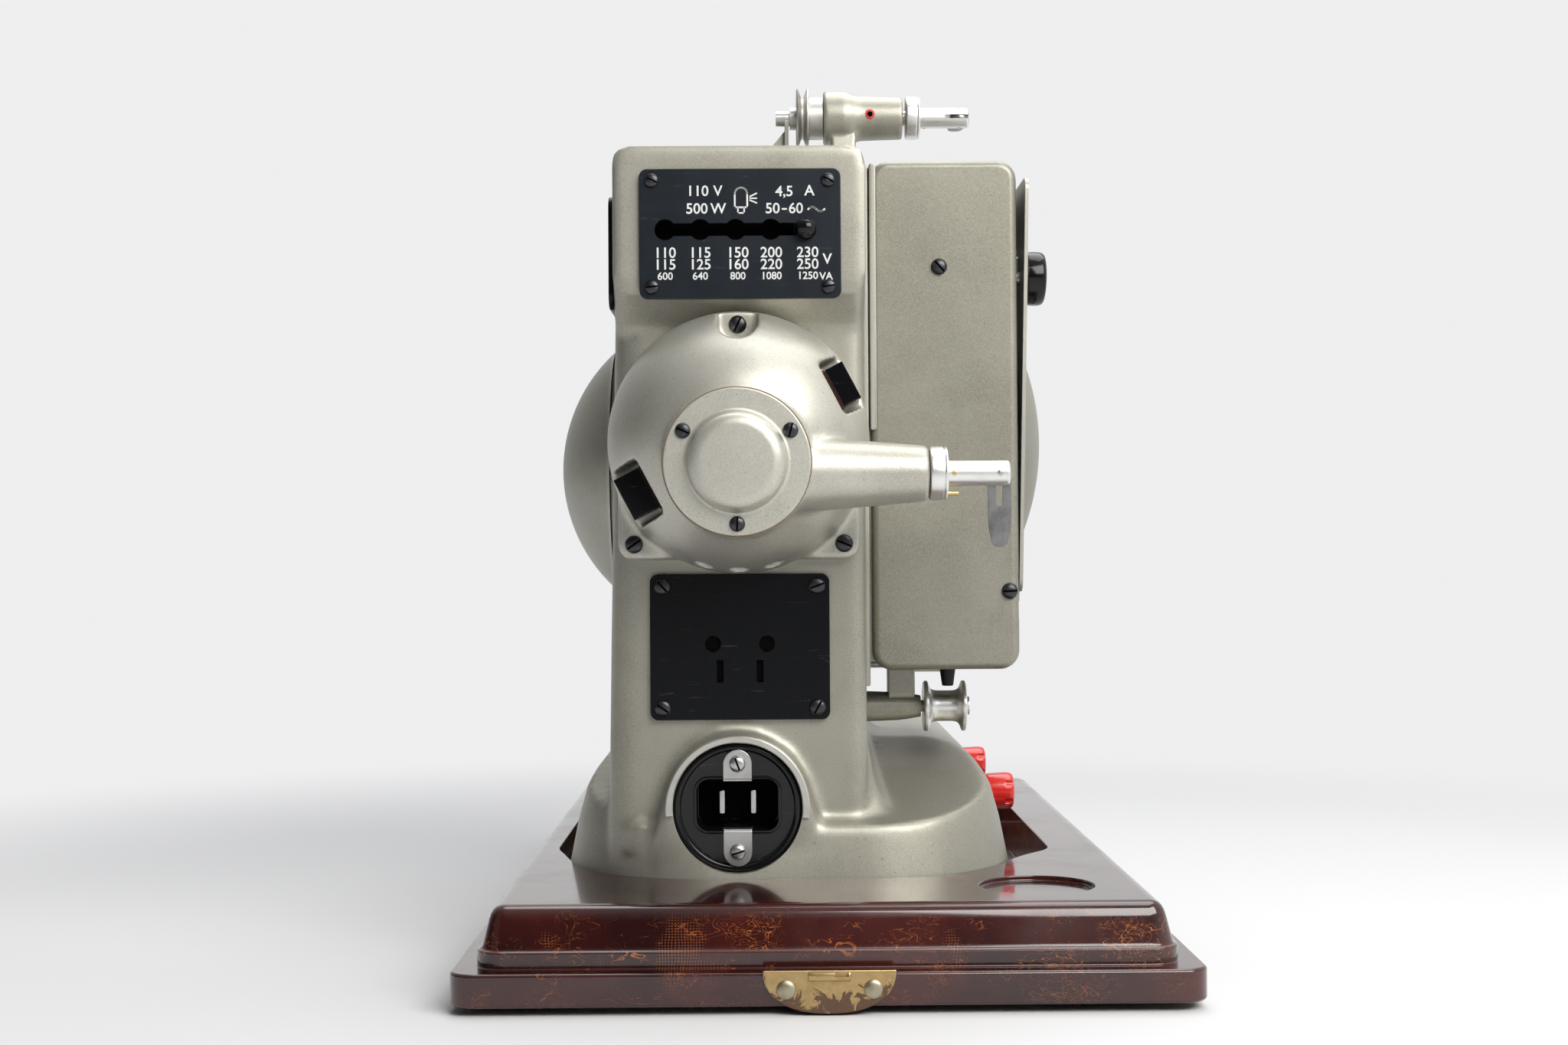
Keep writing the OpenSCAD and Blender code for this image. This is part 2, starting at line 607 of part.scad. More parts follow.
module socket_plate() {
    color("#15171a") difference() {
        slab_y([motor_x - sock_w / 2, tower_y0 - panel_t, sock_z - sock_h / 2],
               [motor_x + sock_w / 2, tower_y0, sock_z + sock_h / 2], 2.4);
        for (s = [-1, 1]) {
            rod_y(motor_x + s * 8.8, tower_y0 - 5, tower_y0 + 1, sock_z + 1, 2.7);
            block([motor_x + s * 6.5 - 1.1, tower_y0 - 5, sock_z - 11.5],
                  [motor_x + s * 6.5 + 1.1, tower_y0 + 1, sock_z - 4.3]);
        }
        for (sx = [-1, 1], sz = [-1, 1])
            screw_hole(motor_x + sx * 25.2, tower_y0 - 5, tower_y0 + 1, sock_z + sz * 19.8);
    }
}
module socket_screws() {
    color("#2a2d33") for (sx = [-1, 1], sz = [-1, 1])
        rear_screw(motor_x + sx * 25.2, tower_y0 - panel_t, sock_z + sz * 19.8, r = 2.9, head = 1.2,
                   shank = 5, slot_angle = 30 - 25 * sx * sz);
}
module socket_sleeves() {
    color("#b58f4b") for (s = [-1, 1]) {
        difference() {
            rod_y(motor_x + s * 8.8, tower_y0, tower_y0 + 8, sock_z + 1, 3.6);
            rod_y(motor_x + s * 8.8, tower_y0 - 1, tower_y0 + 7, sock_z + 1, 2.4);
        }
        difference() {
            block([motor_x + s * 6.5 - 2, tower_y0, sock_z - 12.5],
                  [motor_x + s * 6.5 + 2, tower_y0 + 8, sock_z - 3.3]);
            block([motor_x + s * 6.5 - 1, tower_y0 - 1, sock_z - 11.3],
                  [motor_x + s * 6.5 + 1, tower_y0 + 7, sock_z - 4.5]);
        }
    }
}

module inlet_body() {
    color("#101011") difference() {
        union() {
            rod_y(inlet_x, inlet_y0, inlet_y0 + 12, inlet_z, inlet_r);
            rod_y(inlet_x, inlet_y0 + 12 - SKIN, inlet_y0 + 22, inlet_z, inlet_r - 4.5);
        }
        slab_y([inlet_x - 13.4, inlet_y0 - 1, inlet_z - 7],
            [inlet_x + 13.4, inlet_y0 + 17, inlet_z + 9.4], 3);
        for (s = [-1, 1]) {
            rod_y(inlet_x + s * 5.1, inlet_y0 + 10, inlet_y0 + 23, inlet_z + 1.3, 1.1);
            rod_y(inlet_x, inlet_y0 - 1, inlet_y0 + 8, inlet_z + s * 14.2, 1.3 + run_fit);
        }
    }
}
module inlet_pins() {
    color("#c9c7bf") for (s = [-1, 1]) {
        slab_y([inlet_x + s * 5.1 - 0.85, inlet_y0 + 5.2, inlet_z - 2.5],
               [inlet_x + s * 5.1 + 0.85, inlet_y0 + 17, inlet_z + 5.1], 0.8);
        rod_y(inlet_x + s * 5.1, inlet_y0 + 16.9, inlet_y0 + 25, inlet_z + 1.3, 1.08);
    }
}
module inlet_tabs() {
    color("#b9b8b2") for (s = [-1, 1]) difference() {
        union() {
            rod_y(inlet_x, inlet_y0 - 1, inlet_y0, inlet_z + s * 14.2, 4.4);
            block([inlet_x - 4.4, inlet_y0 - 1, min(inlet_z + s * 14.2, inlet_z + s * 9.6)],
                  [inlet_x + 4.4, inlet_y0, max(inlet_z + s * 14.2, inlet_z + s * 9.6)]);
        }
        rod_y(inlet_x, inlet_y0 - 2, inlet_y0 + 1, inlet_z + s * 14.2, 1.3 + run_fit);
    }
}
module inlet_screws() {
    color("#c6c6c2") for (s = [-1, 1])
        rear_screw(inlet_x, inlet_y0 - 1, inlet_z + s * 14.2, r = 2.5, head = 1.3, shank = 7,
                   slot_angle = 50 * s);
}

// Sheet-metal lamphouse: closed but for its operator side, with slots in top and bottom
module lamphouse() {
    color("#75746a") difference() {
        slab_y([lamp_x0, lamp_y0, lamp_z0], [lamp_x1, lamp_y1, lamp_z1], lamp_corner);
        slab_y([lamp_x0 + lamp_wall, lamp_y0 + lamp_wall, lamp_z0 + lamp_wall],
               [lamp_x1 - lamp_wall, lamp_y1 - lamp_wall, lamp_z1 - lamp_wall], lamp_corner - lamp_wall);
        block([lamp_x1 - lamp_wall - 1, door_y0 + 1, door_z0 - 4], [lamp_x1 + 1, door_y1 - 1, door_z1 - 4]);
        block([lamp_x1 - lamp_wall - 1, door_y0 - 0.4, door_z0 - 4],
            [lamp_x1 + 1, door_y1 + 0.4, hinge_z + 6]);
        for (i = [0:6]) block([lamp_x0 + 10, lamp_y0 + 14 + i * 8.5, lamp_z1 - 4],
                              [lamp_x1 - 10, lamp_y0 + 17.5 + i * 8.5, lamp_z1 + 1]);
        for (i = [0:3]) block([lamp_x0 + 10, lamp_y0 + 48 + i * 7, lamp_z0 - 1],
                              [lamp_x1 - 14, lamp_y0 + 51 + i * 7, lamp_z0 + 4]);
        rod_y(optic_x, lamp_y1 - 4, lamp_y1 + 1, axis_z, 12);
        block([lamp_x0 - 1, lamp_y0 + 20, lamp_z0 + 12], [lamp_x0 + 4, lamp_y0 + 32, lamp_z0 + 24]);
        screw_hole(41, lamp_y0 - 1, lamp_y0 + 4, 231);
        rod_y(hinge_x, lamp_y0 - 1, lamp_y1 + 1, hinge_z, hinge_r + run_fit);
    }
    color("#75746a") block([tower_x1, lamp_y0 + 3, lamp_z0 + 4], [lamp_x0 + SKIN, lamp_y0 + 5, lamp_z1 - 1]);
    color("#75746a") block([tower_x1, lamp_y1 - 8, lamp_z0 + 4], [lamp_x0 + SKIN, lamp_y1 - 6, lamp_z1 - 1]);
}

// Case screw and the long hinge pin of the door, both seen as slotted heads from the rear
module lamphouse_screws() {
    color("#2a2d33") {
        rear_screw(41, lamp_y0, 231, r = 2.6, shank = 5, slot_angle = -25);
        rear_screw(hinge_x, lamp_y0, hinge_z, r = 3, shank = 1, slot_angle = 60);
        rod_y(hinge_x, lamp_y0 - SKIN, lamp_y1 - 0.2, hinge_z, hinge_r);
    }
}

module lamp_holder() {
    color("#8f8f88") {
        slab_z([optic_x - 16, lamp_y - 16, lamp_z0 + lamp_wall],
            [optic_x + 16, lamp_y + 16, lamp_z0 + 8], 4);
        difference() {
            rod_z(optic_x, lamp_y, lamp_z0 + 8 - SKIN, cap_flange_z, cap_r + 2.8);
            rod_z(optic_x, lamp_y, lamp_z0 + 10, cap_flange_z + 1, cap_r + run_fit);
        }
    }
}
module lamp_cap() {
    color("#b58f4b") rod_z(optic_x, lamp_y, lamp_z0 + 10, bulb_z, cap_r);
    color("#b58f4b") rod_z(optic_x, lamp_y, cap_flange_z, cap_flange_z + 1.6, cap_r + 2);
}
module lamp_bulb() {
    color("#dfe6ea") translate([optic_x, lamp_y, bulb_z]) rotate_extrude()
        polygon(concat([[0, 0], [cap_r - 1, 0], [bulb_r, 6], [bulb_r, bulb_h]],
            [for (t = [15:15:90]) [bulb_r * cos(t), bulb_h + bulb_r * sin(t)]]));
}
module reflector() {
    color("#cfd3d6") difference() {
        union() {
            intersection() {
                translate([optic_x, lamp_y, axis_z]) sphere(32, $fn = 96);
                rod_y(optic_x, lamp_y - 33, lamp_y - 22, axis_z, 20);
            }
            rod_y(optic_x, lamp_y0 + lamp_wall, lamp_y - 31, axis_z, 3);
        }
        translate([optic_x, lamp_y, axis_z]) sphere(30.8, $fn = 96);
    }
}
// Two plano-convex lenses in a tube from the lamphouse into the gate housing
module condenser() {
    color("#bcd0d6") {
        difference() {
            rod_y(optic_x, lamp_y1 - 16, lamp_y1 + 3, axis_z, 11.9);
            rod_y(optic_x, lamp_y1 - 17, lamp_y1 + 4, axis_z, 10.8);
        }
        for (y = [lamp_y1 - 12, lamp_y1 - 3]) turn_y(optic_x, y, axis_z, concat([[0, 0]],
            [for (t = [0:15:90]) [10.8 * sin(t), 1.5 + 3 * cos(t)]], [[10.8, 0]]));
    }
}

// Film gate housing with the shutter's slot, the aperture and the film track
module gate_housing() {
    color("#85837a") difference() {
        union() {
            slab_y([tower_x1, gate_y0, gate_z0], [gate_x1, gate_y1, gate_z1], 8);
            block([tower_x1, gate_y1 - SKIN, axis_z - 40], [tower_x1 + 3.6, gate_y1 + 3.2, axis_z + 40]);
            slab_y([optic_x - 8, gate_y1 - SKIN, axis_z - 40], [optic_x + 8, gate_y1 + 2, axis_z + 40], 2);
            for (s = [-1, 1]) block([tower_x1, gate_y1, axis_z + min(s * 26.3, s * 31)],
                                    [holder_x + 3, holder_y + 3, axis_z + max(s * 26.3, s * 31)]);
            rod_z(holder_x, holder_y, axis_z - 28, axis_z + 28, 1.6);
        }
        block([tower_x1 - 1, gear_train_y - 3, axis_z - shutter_r - 1.5],
              [gate_x1 - 3, shutter_y + 1.5, axis_z + shutter_r + 1.5]);
        rod_y(optic_x, gate_y0 - 1, shutter_y, axis_z, 12);
        rod_y(optic_x, shutter_y, gate_y1 - 1.5, axis_z, 6);
        block([optic_x - 2.3, gate_y1 - 4, axis_z - 1.65], [optic_x + 2.3, gate_y1 + 4, axis_z + 1.65]);
        block([optic_x - 4.1, gate_y1 + 1.7, axis_z - 42], [optic_x + 4.1, gate_y1 + 3, axis_z + 42]);
    }
}

module roller_bracket() {
    color("#7d7b70") {
        rod_x(tower_x1, roller_x0 - 1, roller_y, roller_z, 5.2, 3.9);
        rod_x(roller_x0 - 1 - SKIN, roller_x0 + roller_len + 0.6, roller_y, roller_z, 2);
        rod_x(roller_x0 + roller_len + slip, roller_x0 + roller_len + 1.3, roller_y, roller_z, 3.2);
        slab_x([24.5, roller_y - 6, roller_z + 3], [33.6, roller_y + 6, lamp_z0], 2);
    }
    color("#1a1a1a") rod_z(optic_x, roller_y - 6, lamp_z0 - 7, lamp_z0, 2, 2.8);
}
module guide_roller() {
    color("#c4c3bb") difference() {
        turn_x(roller_x0, roller_y, roller_z, concat([[0, 0], [roller_r - 0.5, 0], [roller_r, 0.6],
            [roller_r, 1.9], [roller_r - 0.6, 2.5]],
            [for (t = [0:0.125:1]) [6.1 - 1.1 * sin(180 * t), 2.9 + (roller_len - 5.8) * t]],
            [[roller_r - 0.6, roller_len - 2.5], [roller_r, roller_len - 1.9], [roller_r, roller_len - 0.6],
             [roller_r - 0.5, roller_len], [0, roller_len]]));
        rod_x(roller_x0 - 1, roller_x0 + roller_len + 1, roller_y, roller_z, 2 + run_fit);
    }
}

module motor_stator() {
    color("#6b5548") difference() {
        rod_y(motor_x, motor_y0, motor_y1, axis_z, stator_r);
        rod_y(motor_x, motor_y0 - 1, motor_y1 + 1, axis_z, rotor_r + 0.6);
    }
    color("#6b5548") {
        block([tower_x0 + cast_wall, motor_y0 + 11, axis_z - 5],
              [motor_x - stator_r + 2, motor_y1 - 4, axis_z + 5]);
        block([motor_x + stator_r - 2, motor_y0 + 11, axis_z - 5],
              [tower_x1 - cast_wall, motor_y1 - 4, axis_z + 5]);
    }
}
module motor_shaft() {
    color("#9a9a96") {
        rod_y(motor_x, gear_y0 + gear_plate - 1, gear_train_y + 2, axis_z, motor_shaft_r);
        rod_y(motor_x, motor_y0 + 3, motor_y1 - 3, axis_z, rotor_r);
        rod_y(motor_x, dome_y - 8, motor_y0, axis_z, 11);
    }
    color("#9a9a96") for (i = [0:4]) rod_y(motor_x, spindle_y - 4 + 2 * i - 0.5, spindle_y - 4 + 2 * i + 0.5,
                                           axis_z, 4.2);
    color("#b58f4b") spur_gear(motor_x, gear_train_y, axis_z, 3, 12, gear_mesh / 4, 0);
}
// Spur gear on an axis along Y: pitch radius pr, straight-flanked teeth
module spur_gear(x, y, z, width, teeth, pr, turn) {
    m = 2 * pr / teeth;
    translate([x, y, z]) rotate([90, turn, 0]) linear_extrude(width, center = true)
        polygon([for (i = [0:teeth - 1], q = [[-0.31, -1.2], [-0.13, 0.75], [0.13, 0.75], [0.31, -1.2]])
            let (a = 360 / teeth * (i + q[0])) [(pr + m * q[1]) * cos(a), (pr + m * q[1]) * sin(a)]]);
}
module cooling_fan() {
    color("#a7a69e") difference() {
        union() {
            rod_y(motor_x, fan_y, fan_y + 2, axis_z, fan_r);
            rod_y(motor_x, fan_y, fan_y + fan_w - 2, axis_z, motor_shaft_r + 4);
            for (i = [0:11]) translate([motor_x, fan_y + 1, axis_z]) rotate([0, i * 30, 0])
                block([fan_r / 2, 0, -0.7], [fan_r - 0.5, fan_w - 1, 0.7]);
        }
        rod_y(motor_x, fan_y - 1, fan_y + fan_w, axis_z, motor_shaft_r);
    }
}
module shutter() {
    color("#2c2c2c") {
        rod_y(shutter_x, shutter_y - 0.5, shutter_y + 0.5, axis_z, 12);
        for (i = [0:2]) translate([shutter_x, shutter_y + 0.5, axis_z]) rotate([90, 120 * i, 0])
            linear_extrude(1) polygon(concat([[0, 0]],
                [for (t = [-32:8:32]) [shutter_r * cos(t), shutter_r * sin(t)]]));
        rod_y(shutter_x, bridge_y - 4, shutter_y + 2, axis_z, 2.5);
    }
    color("#b58f4b") spur_gear(shutter_x, gear_train_y, axis_z, 3, 36, gear_mesh * 3 / 4, 5);
}

// Bridge inside the tower that carries the front of the motor shaft and the shutter shaft
module bearing_bridge() {
    color("#8f8f88") difference() {
        block([tower_x0 + cast_wall, bridge_y, axis_z - 20],
            [tower_x1 - cast_wall, bridge_y + 6, axis_z + 20]);
        rod_y(motor_x, bridge_y - 1, bridge_y + 7, axis_z, motor_shaft_r + run_fit);
        rod_y(shutter_x, bridge_y - 1, bridge_y + 7, axis_z, 2.5 + run_fit);
        for (z = [axis_z - 20, axis_z + 20])
            rod_y((motor_x + shutter_x) / 2, bridge_y - 1, bridge_y + 7, z, 9);
    }
}

// Film sprocket with its shaft and the teeth that enter the film's holes
module sprocket(z) {
    color("#c9c8c0") {
        rod_x(tower_x1 - 20, film_x0, sprocket_y, z, 3);
        turn_x(film_x0, sprocket_y, z, [[0, 0], [sprocket_r + 1.2, 0], [sprocket_r + 1.2, 1.5],
            [sprocket_r, 1.9], [sprocket_r, 3.4], [sprocket_r - 0.8, 3.6], [sprocket_r - 0.8, 8.2],
            [sprocket_r, 8.4], [sprocket_r, 9.9], [sprocket_r + 1.2, 10.3], [sprocket_r + 1.2, 11.8],
            [0, 11.8]]);
        for (i = [0:sprocket_teeth - 1]) translate([film_x0 + 2.6, sprocket_y, z])
            rotate([360 / sprocket_teeth * i, 0, 0])
            translate([0, 0, sprocket_r - 1]) cylinder(h = 2.1, r1 = 0.9, r2 = 0.45, $fn = 16);
        rod_x(film_x0 + 11.8 - SKIN, film_x0 + 14, sprocket_y, z, 4.4, 3.6);
    }
}
module upper_sprocket() { sprocket(upper_z); }
module lower_sprocket() { sprocket(lower_z); }

// Film shoe that holds the film on a sprocket, hinged on a pin from the tower wall
module shoe(z, s) {
    pin_z = z + s * shoe_rise;
    color("#a9a79d") difference() {
        union() {
            rod_x(tower_x1 + 22, film_x0 + 10.8, sprocket_y + 6, pin_z, 3.2);
            intersection() {
                rod_x(film_x0 + 2, film_x0 + 9.8, sprocket_y, z, sprocket_r + 4.4);
                block([30, sprocket_y + 1, z + (s > 0 ? 0 : -20)],
                    [55, sprocket_y + 20, z + (s > 0 ? 20 : 0)]);
            }
            block([film_x0 + 2, sprocket_y + 3.5, min(z + s * 9, pin_z)],
                  [film_x0 + 9.8, sprocket_y + 8.5, max(z + s * 9, pin_z)]);
        }
        rod_x(film_x0 - 1, film_x0 + 13, sprocket_y, z, sprocket_r + 1.7);
        rod_x(tower_x1, 60, sprocket_y + 6, pin_z, shoe_pin_r + run_fit);
    }
}
module shoe_pins() {
    color("#b5b4ae") for (z = [upper_z + shoe_rise, lower_z - shoe_rise])
        rod_x(tower_x1 - cast_wall + slip, film_x0 + 12, sprocket_y + 6, z, shoe_pin_r);
}
module upper_shoe() { shoe(upper_z, 1); }
module lower_shoe() { shoe(lower_z, -1); }

// Free end of a reel spindle: slit for the latch, its rivet, and the pin that drives the reel
module spindle_tip(x0, y, z, turn = 0) {
    translate([x0, y, z]) rotate([turn, 0, 0]) {
        difference() {
            union() {
                rod_x(0, spindle_len - 0.8, 0, 0, spindle_r);
                rod_x(spindle_len - 0.8 - SKIN, spindle_len, 0, 0, spindle_r, spindle_r - 0.7);
                rod_x(-SKIN, 3.2, 0, -6.2, 0.7);
            }
            block([9.8, -latch_t / 2 - 0.15, -5], [spindle_len + 1, latch_t / 2 + 0.15, 5]);
        }
        rod_y(latch_place, -spindle_r + 0.1, spindle_r - 0.1, 0, latch_hole_r - run_fit);
    }
}
module takeup_spindle() {
    color("#c8c7c0") {
        rod_x(motor_x - 6, arm_tip_x + 1, spindle_y, spindle_z, spindle_r - 1);
        turn_x(arm_tip_x + slip, spindle_y, spindle_z, [[0, 0], [collar_r - 0.4, 0], [collar_r, 0.4],
            [collar_r, collar_len - 0.9], [collar_r - 0.5, collar_len - slip], [0, collar_len - slip]]);
        spindle_tip(arm_tip_x + collar_len, spindle_y, spindle_z);
    }
    color("#b58f4b") translate([motor_x, spindle_y, spindle_z]) rotate([90, 0, 90])
        linear_extrude(9, center = true) polygon([for (i = [0:15], q = [[-0.3, 5.9], [-0.15, 7], [0.15, 7],
            [0.3, 5.9]]) let (a = 22.5 * (i + q[0])) [q[1] * cos(a), q[1] * sin(a)]]);
}
// Flat latch in the spindle's slit; it hangs down to hold a reel on
module latch_shape(x, y, z, turn = 0) {
    translate([x, y, z]) rotate([turn, 0, 0]) translate([0, latch_t / 2, 0]) rotate([90, 0, 0])
        linear_extrude(latch_t) difference() {
        union() {
            circle(2.9);
            translate([-3.6, -14]) square([7.2, 14]);
            polygon([[-3.6, -14.1], [3.6, -14.1], [2.9, -20.2], [-2.9, -20.2]]);
            translate([0, -20.2]) circle(2.9);
        }
        translate([-1.05, -9]) square([2.1, 6]);
        circle(latch_hole_r);
    }
}
module takeup_latch() {
    color("#aaa9a2") latch_shape(arm_tip_x + collar_len + latch_place, spindle_y, spindle_z);
}

// Feed arm: head with the spindle's bearing, web, and the boss at its hinge
module feed_arm() {
    color("#94928a") difference() {
        union() {
            turn_x(head_x0, feed_y, feed_z, [[0, 0], [10, 0], [10.3, 0.6], [10.3, 8.5], [9, 12],
                [8.6, 14], [8.2, head_x1 - head_x0], [0, head_x1 - head_x0]]);
            hull() {
                rod_x(8.5, 18.5, feed_y, feed_z, 6, $fn = 32);
                rod_x(8.5, 18.5, pivot_y, pivot_z, 9, $fn = 32);
            }
            rod_x(8, 19, pivot_y, pivot_z, 10);
            translate([-9.5, 0, 0]) rotate([90, 0, 90]) linear_extrude(1.5)
                polygon([[feed_y - 5, feed_z], [feed_y + 5, feed_z], [feed_y + 6, feed_z - 26],
                         [feed_y - 2, feed_z - 26]]);
            rod_x(-9.5, -8, feed_y, feed_z, 5);
            rod_x(-9.5, 9, feed_y + 2, feed_z - 22, 3);
            translate([0, feed_y + 6, 0]) rotate([90, 0, 0]) linear_extrude(6)
                polygon([[-8.2, feed_z - 4.2], [-14, feed_z - 10], [-14, feed_z - 26], [-8.2, feed_z - 26]]);
        }
        rod_x(-20, head_x1 + 1, feed_y, feed_z, 3 + run_fit);
        rod_x(7, 20, pivot_y, pivot_z, pivot_r + run_fit);
        translate([24, feed_y, feed_z]) rotate([90, 0, 0]) cylinder(h = 12, r = 1.6);
    }
}
module arm_bracket() {
    color("#85837a") {
        slab_x([-4, tower_y1, pivot_z - 13], [7.5, tower_y1 + 24, pivot_z + 12], 5);
        rod_x(7.4, 19.3, pivot_y, pivot_z, pivot_r);
        rod_x(19.3 - SKIN, 21.5, pivot_y, pivot_z, 6);
    }
}
module feed_spindle() {
    color("#c8c7c0") {
        rod_x(-13, head_x1 + 1.5, feed_y, feed_z, 3);
        turn_x(head_x1 + 1.2, feed_y, feed_z, [[0, 0], [collar_r - 0.4, 0], [collar_r, 0.4],
            [collar_r, collar_len - 0.9], [collar_r - 0.5, collar_len - slip], [0, collar_len - slip]]);
        spindle_tip(head_x1 + 1.2 + collar_len - slip, feed_y, feed_z, 90);
    }
}
module feed_pulley() {
    color("#a3a29b") difference() {
        turn_x(-7.5, feed_y, feed_z, [[0, 0], [4.4, 0], [4.4, 2.6], [pulley_r - 0.6, 2.6], [pulley_r, 2.9],
            [8, 4.6], [8, 5.4], [pulley_r, 7.1], [pulley_r - 0.6, 7.5], [8.3, 7.6], [8.3, 13], [0, 13]]);
        rod_x(-20, 20, feed_y, feed_z, 3);
    }
}
module feed_latch() {
    color("#aaa9a2") latch_shape(head_x1 + 1.2 + collar_len - slip + latch_place, feed_y, feed_z, 90);
}

// Door of the lamphouse, standing slightly ajar on the hinge pin along its lower edge
module door_turned() {
    translate([hinge_x, 0, hinge_z]) rotate([0, door_ajar, 0]) translate([-hinge_x, 0, -hinge_z]) children();
}
module lamphouse_door() {
    ball_r = (door_bulge_r ^ 2 + door_bulge ^ 2) / (2 * door_bulge);
    bulge = [for (t = [0:0.125:1]) [door_bulge_r * t, sqrt(ball_r ^ 2 - (door_bulge_r * t) ^ 2)
                                    - ball_r + door_bulge]];
    x0 = lamp_x1 + slip;
    color("#7b7a70") door_turned() difference() {
        union() {
            slab_x([x0, door_y0, door_z0], [x0 + door_t, door_y1, door_z1], 4);
            turn_x(x0 + door_t - SKIN, bulge_y, axis_z, concat(bulge, [[0, 0]]));
            for (y = [door_y0 + 4, door_y1 - 7]) {
                rod_y(hinge_x, y, y + 3, hinge_z, 3.4);
                block([hinge_x, y, hinge_z - 3.4], [x0 + 0.5, y + 3, hinge_z + 3.4]);
            }
        }
        turn_x(x0 - SKIN, bulge_y, axis_z, concat([for (p = bulge) [p.x * 0.97, p.y * 0.97]], [[0, 0]]));
        rod_y(hinge_x, door_y0 - 1, door_y1 + 1, hinge_z, hinge_r + run_fit);
        rod_x(x0 - 2, x0 + 4, knob_y, knob_z, 2.5 + run_fit);
    }
}
module door_knob() {
    x0 = lamp_x1 + slip + door_t;
    door_turned() {
        color("#0e0e0f") turn_x(x0 + 0.2, knob_y, knob_z, [[0, 0], [9.2, 0], [9.4, 1.5], [9, 6], [8, 7],
            [0, 7.4]]);
        color("#c6c6c2") {
            rod_x(x0 - door_t - 1.8, x0 + 1, knob_y, knob_z, 2.5);
            block([x0 - door_t - 1.8, knob_y - 1.6, knob_z], [x0 - door_t - slip, knob_y + 1.6, knob_z + 8]);
            translate([x0 - door_t - slip - 1.5, knob_y, knob_z + 8]) sphere(1.5);
        }
    }
}

module lens_holder() {
    color("#9a988e") difference() {
        union() {
            slab_y([holder_x, gate_y1 + 3.2 + slip, axis_z - 30],
                [gate_x1 - 2, gate_y1 + 8, axis_z + 30], 5);
            rod_y(optic_x, gate_y1 + 6, gate_y1 + 30, axis_z, lens_r + 3);
            rod_z(holder_x, holder_y, axis_z - 26, axis_z + 26, 3.1);
        }
        rod_y(optic_x, gate_y1, gate_y1 + 31, axis_z, lens_r + run_fit);
        rod_z(holder_x, holder_y, axis_z - 31, axis_z + 31, 1.6 + run_fit);
        for (s = [-1, 1]) block([holder_x - 4, gate_y1, axis_z + min(s * 26, s * 32)],
                                [holder_x + 5, gate_y1 + 12, axis_z + max(s * 26, s * 32)]);
    }
}
module lens_barrel() {
    color("#1c1c1d") difference() {
        union() {
            rod_y(optic_x, gate_y1 + 5, gate_y1 + 5 + lens_len, axis_z, lens_r);
            rod_y(optic_x, gate_y1 + 36, gate_y1 + 50, axis_z, lens_r + 2.5);
        }
        rod_y(optic_x, gate_y1 + 4, gate_y1 + 12, axis_z, 5);
        rod_y(optic_x, gate_y1 + 11.9, gate_y1 + 45, axis_z, 8, lens_r - 3);
        rod_y(optic_x, gate_y1 + 44.9, gate_y1 + 60, axis_z, lens_r - 2);
    }
}
module lens_glass() {
    color("#a8c4d4") rod_y(optic_x, gate_y1 + 45, gate_y1 + 48, axis_z, lens_r - 2 - run_fit);
}

// Red control knob with finger lobes, on its shaft through the pedestal's flank
module red_knob(y) {
    x0 = knob_x0 + slip;
    color("#c81414") difference() {
        turn_x(x0, y, red_z, [[0, 0], [knob_r, 0], [knob_r, 7], [knob_r - 0.5, 7.6], [knob_r - 1.4, 7.8],
            [knob_r - 1.4, 9.6], [knob_r - 2, 10.4], [0, 10.6]]);
        for (i = [0:4]) translate([0, y, red_z]) rotate([72 * i, 0, 0])
            rod_x(x0 + 7.2, x0 + 11, 0, knob_r + 0.2, 2.4);
    }
    color("#8d8d88") rod_x(switch_x0 + 4, x0 + SKIN, y, red_z, 3);
}
// Switch and speed resistor behind the two knobs
module control_switches() {
    color("#3a3128") for (y = [red_y, red_y + knob_gap]) difference() {
        union() {
            slab_x([switch_x0, y - 13, red_z - 12], [knob_x0 - 11.2, y + 13, red_z + 11.5], 3);
            rod_x(knob_x0 - 11.3, knob_x0 - 9.3, y, red_z, 5);
        }
        rod_x(switch_x0 - 1, knob_x0, y, red_z, 3 + run_fit);
    }
}
module motor_knob() { red_knob(red_y); }
module lamp_knob() { red_knob(red_y + knob_gap); }

base_board();
base_pads();
base_screws();
rear_catch_plate();
front_catch_plate();
catch_rivets();
main_casting();
bottom_plate();
side_plate();
left_cover();
motor_dome();
dome_screws();
brush_caps();
gearbox_cover();
gearbox_screws();
voltage_plate();
voltage_screws();
socket_plate();
socket_screws();
socket_sleeves();
inlet_body();
inlet_pins();
inlet_tabs();
inlet_screws();
lamphouse();
lamphouse_screws();
lamp_holder();
lamp_cap();
lamp_bulb();
reflector();
condenser();
gate_housing();
roller_bracket();
arm_bracket();
motor_stator();
voltage_selector();
motor_shaft();
cooling_fan();
shutter();
upper_sprocket();
lower_sprocket();
takeup_spindle();
takeup_latch();
feed_arm();
feed_spindle();
feed_pulley();
feed_latch();
guide_roller();
lamphouse_door();
door_knob();
lens_holder();
lens_barrel();
lens_glass();
motor_knob();
lamp_knob();
upper_shoe();
lower_shoe();
shoe_pins();
bearing_bridge();
control_switches();
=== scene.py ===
"""Looks of a small-gauge film projector, built round its packed construction. Metres, Z up."""

from math import asin, atan2, cos, pi, radians, sin, sqrt

import bmesh
import bpy
from mathutils import Matrix, Vector


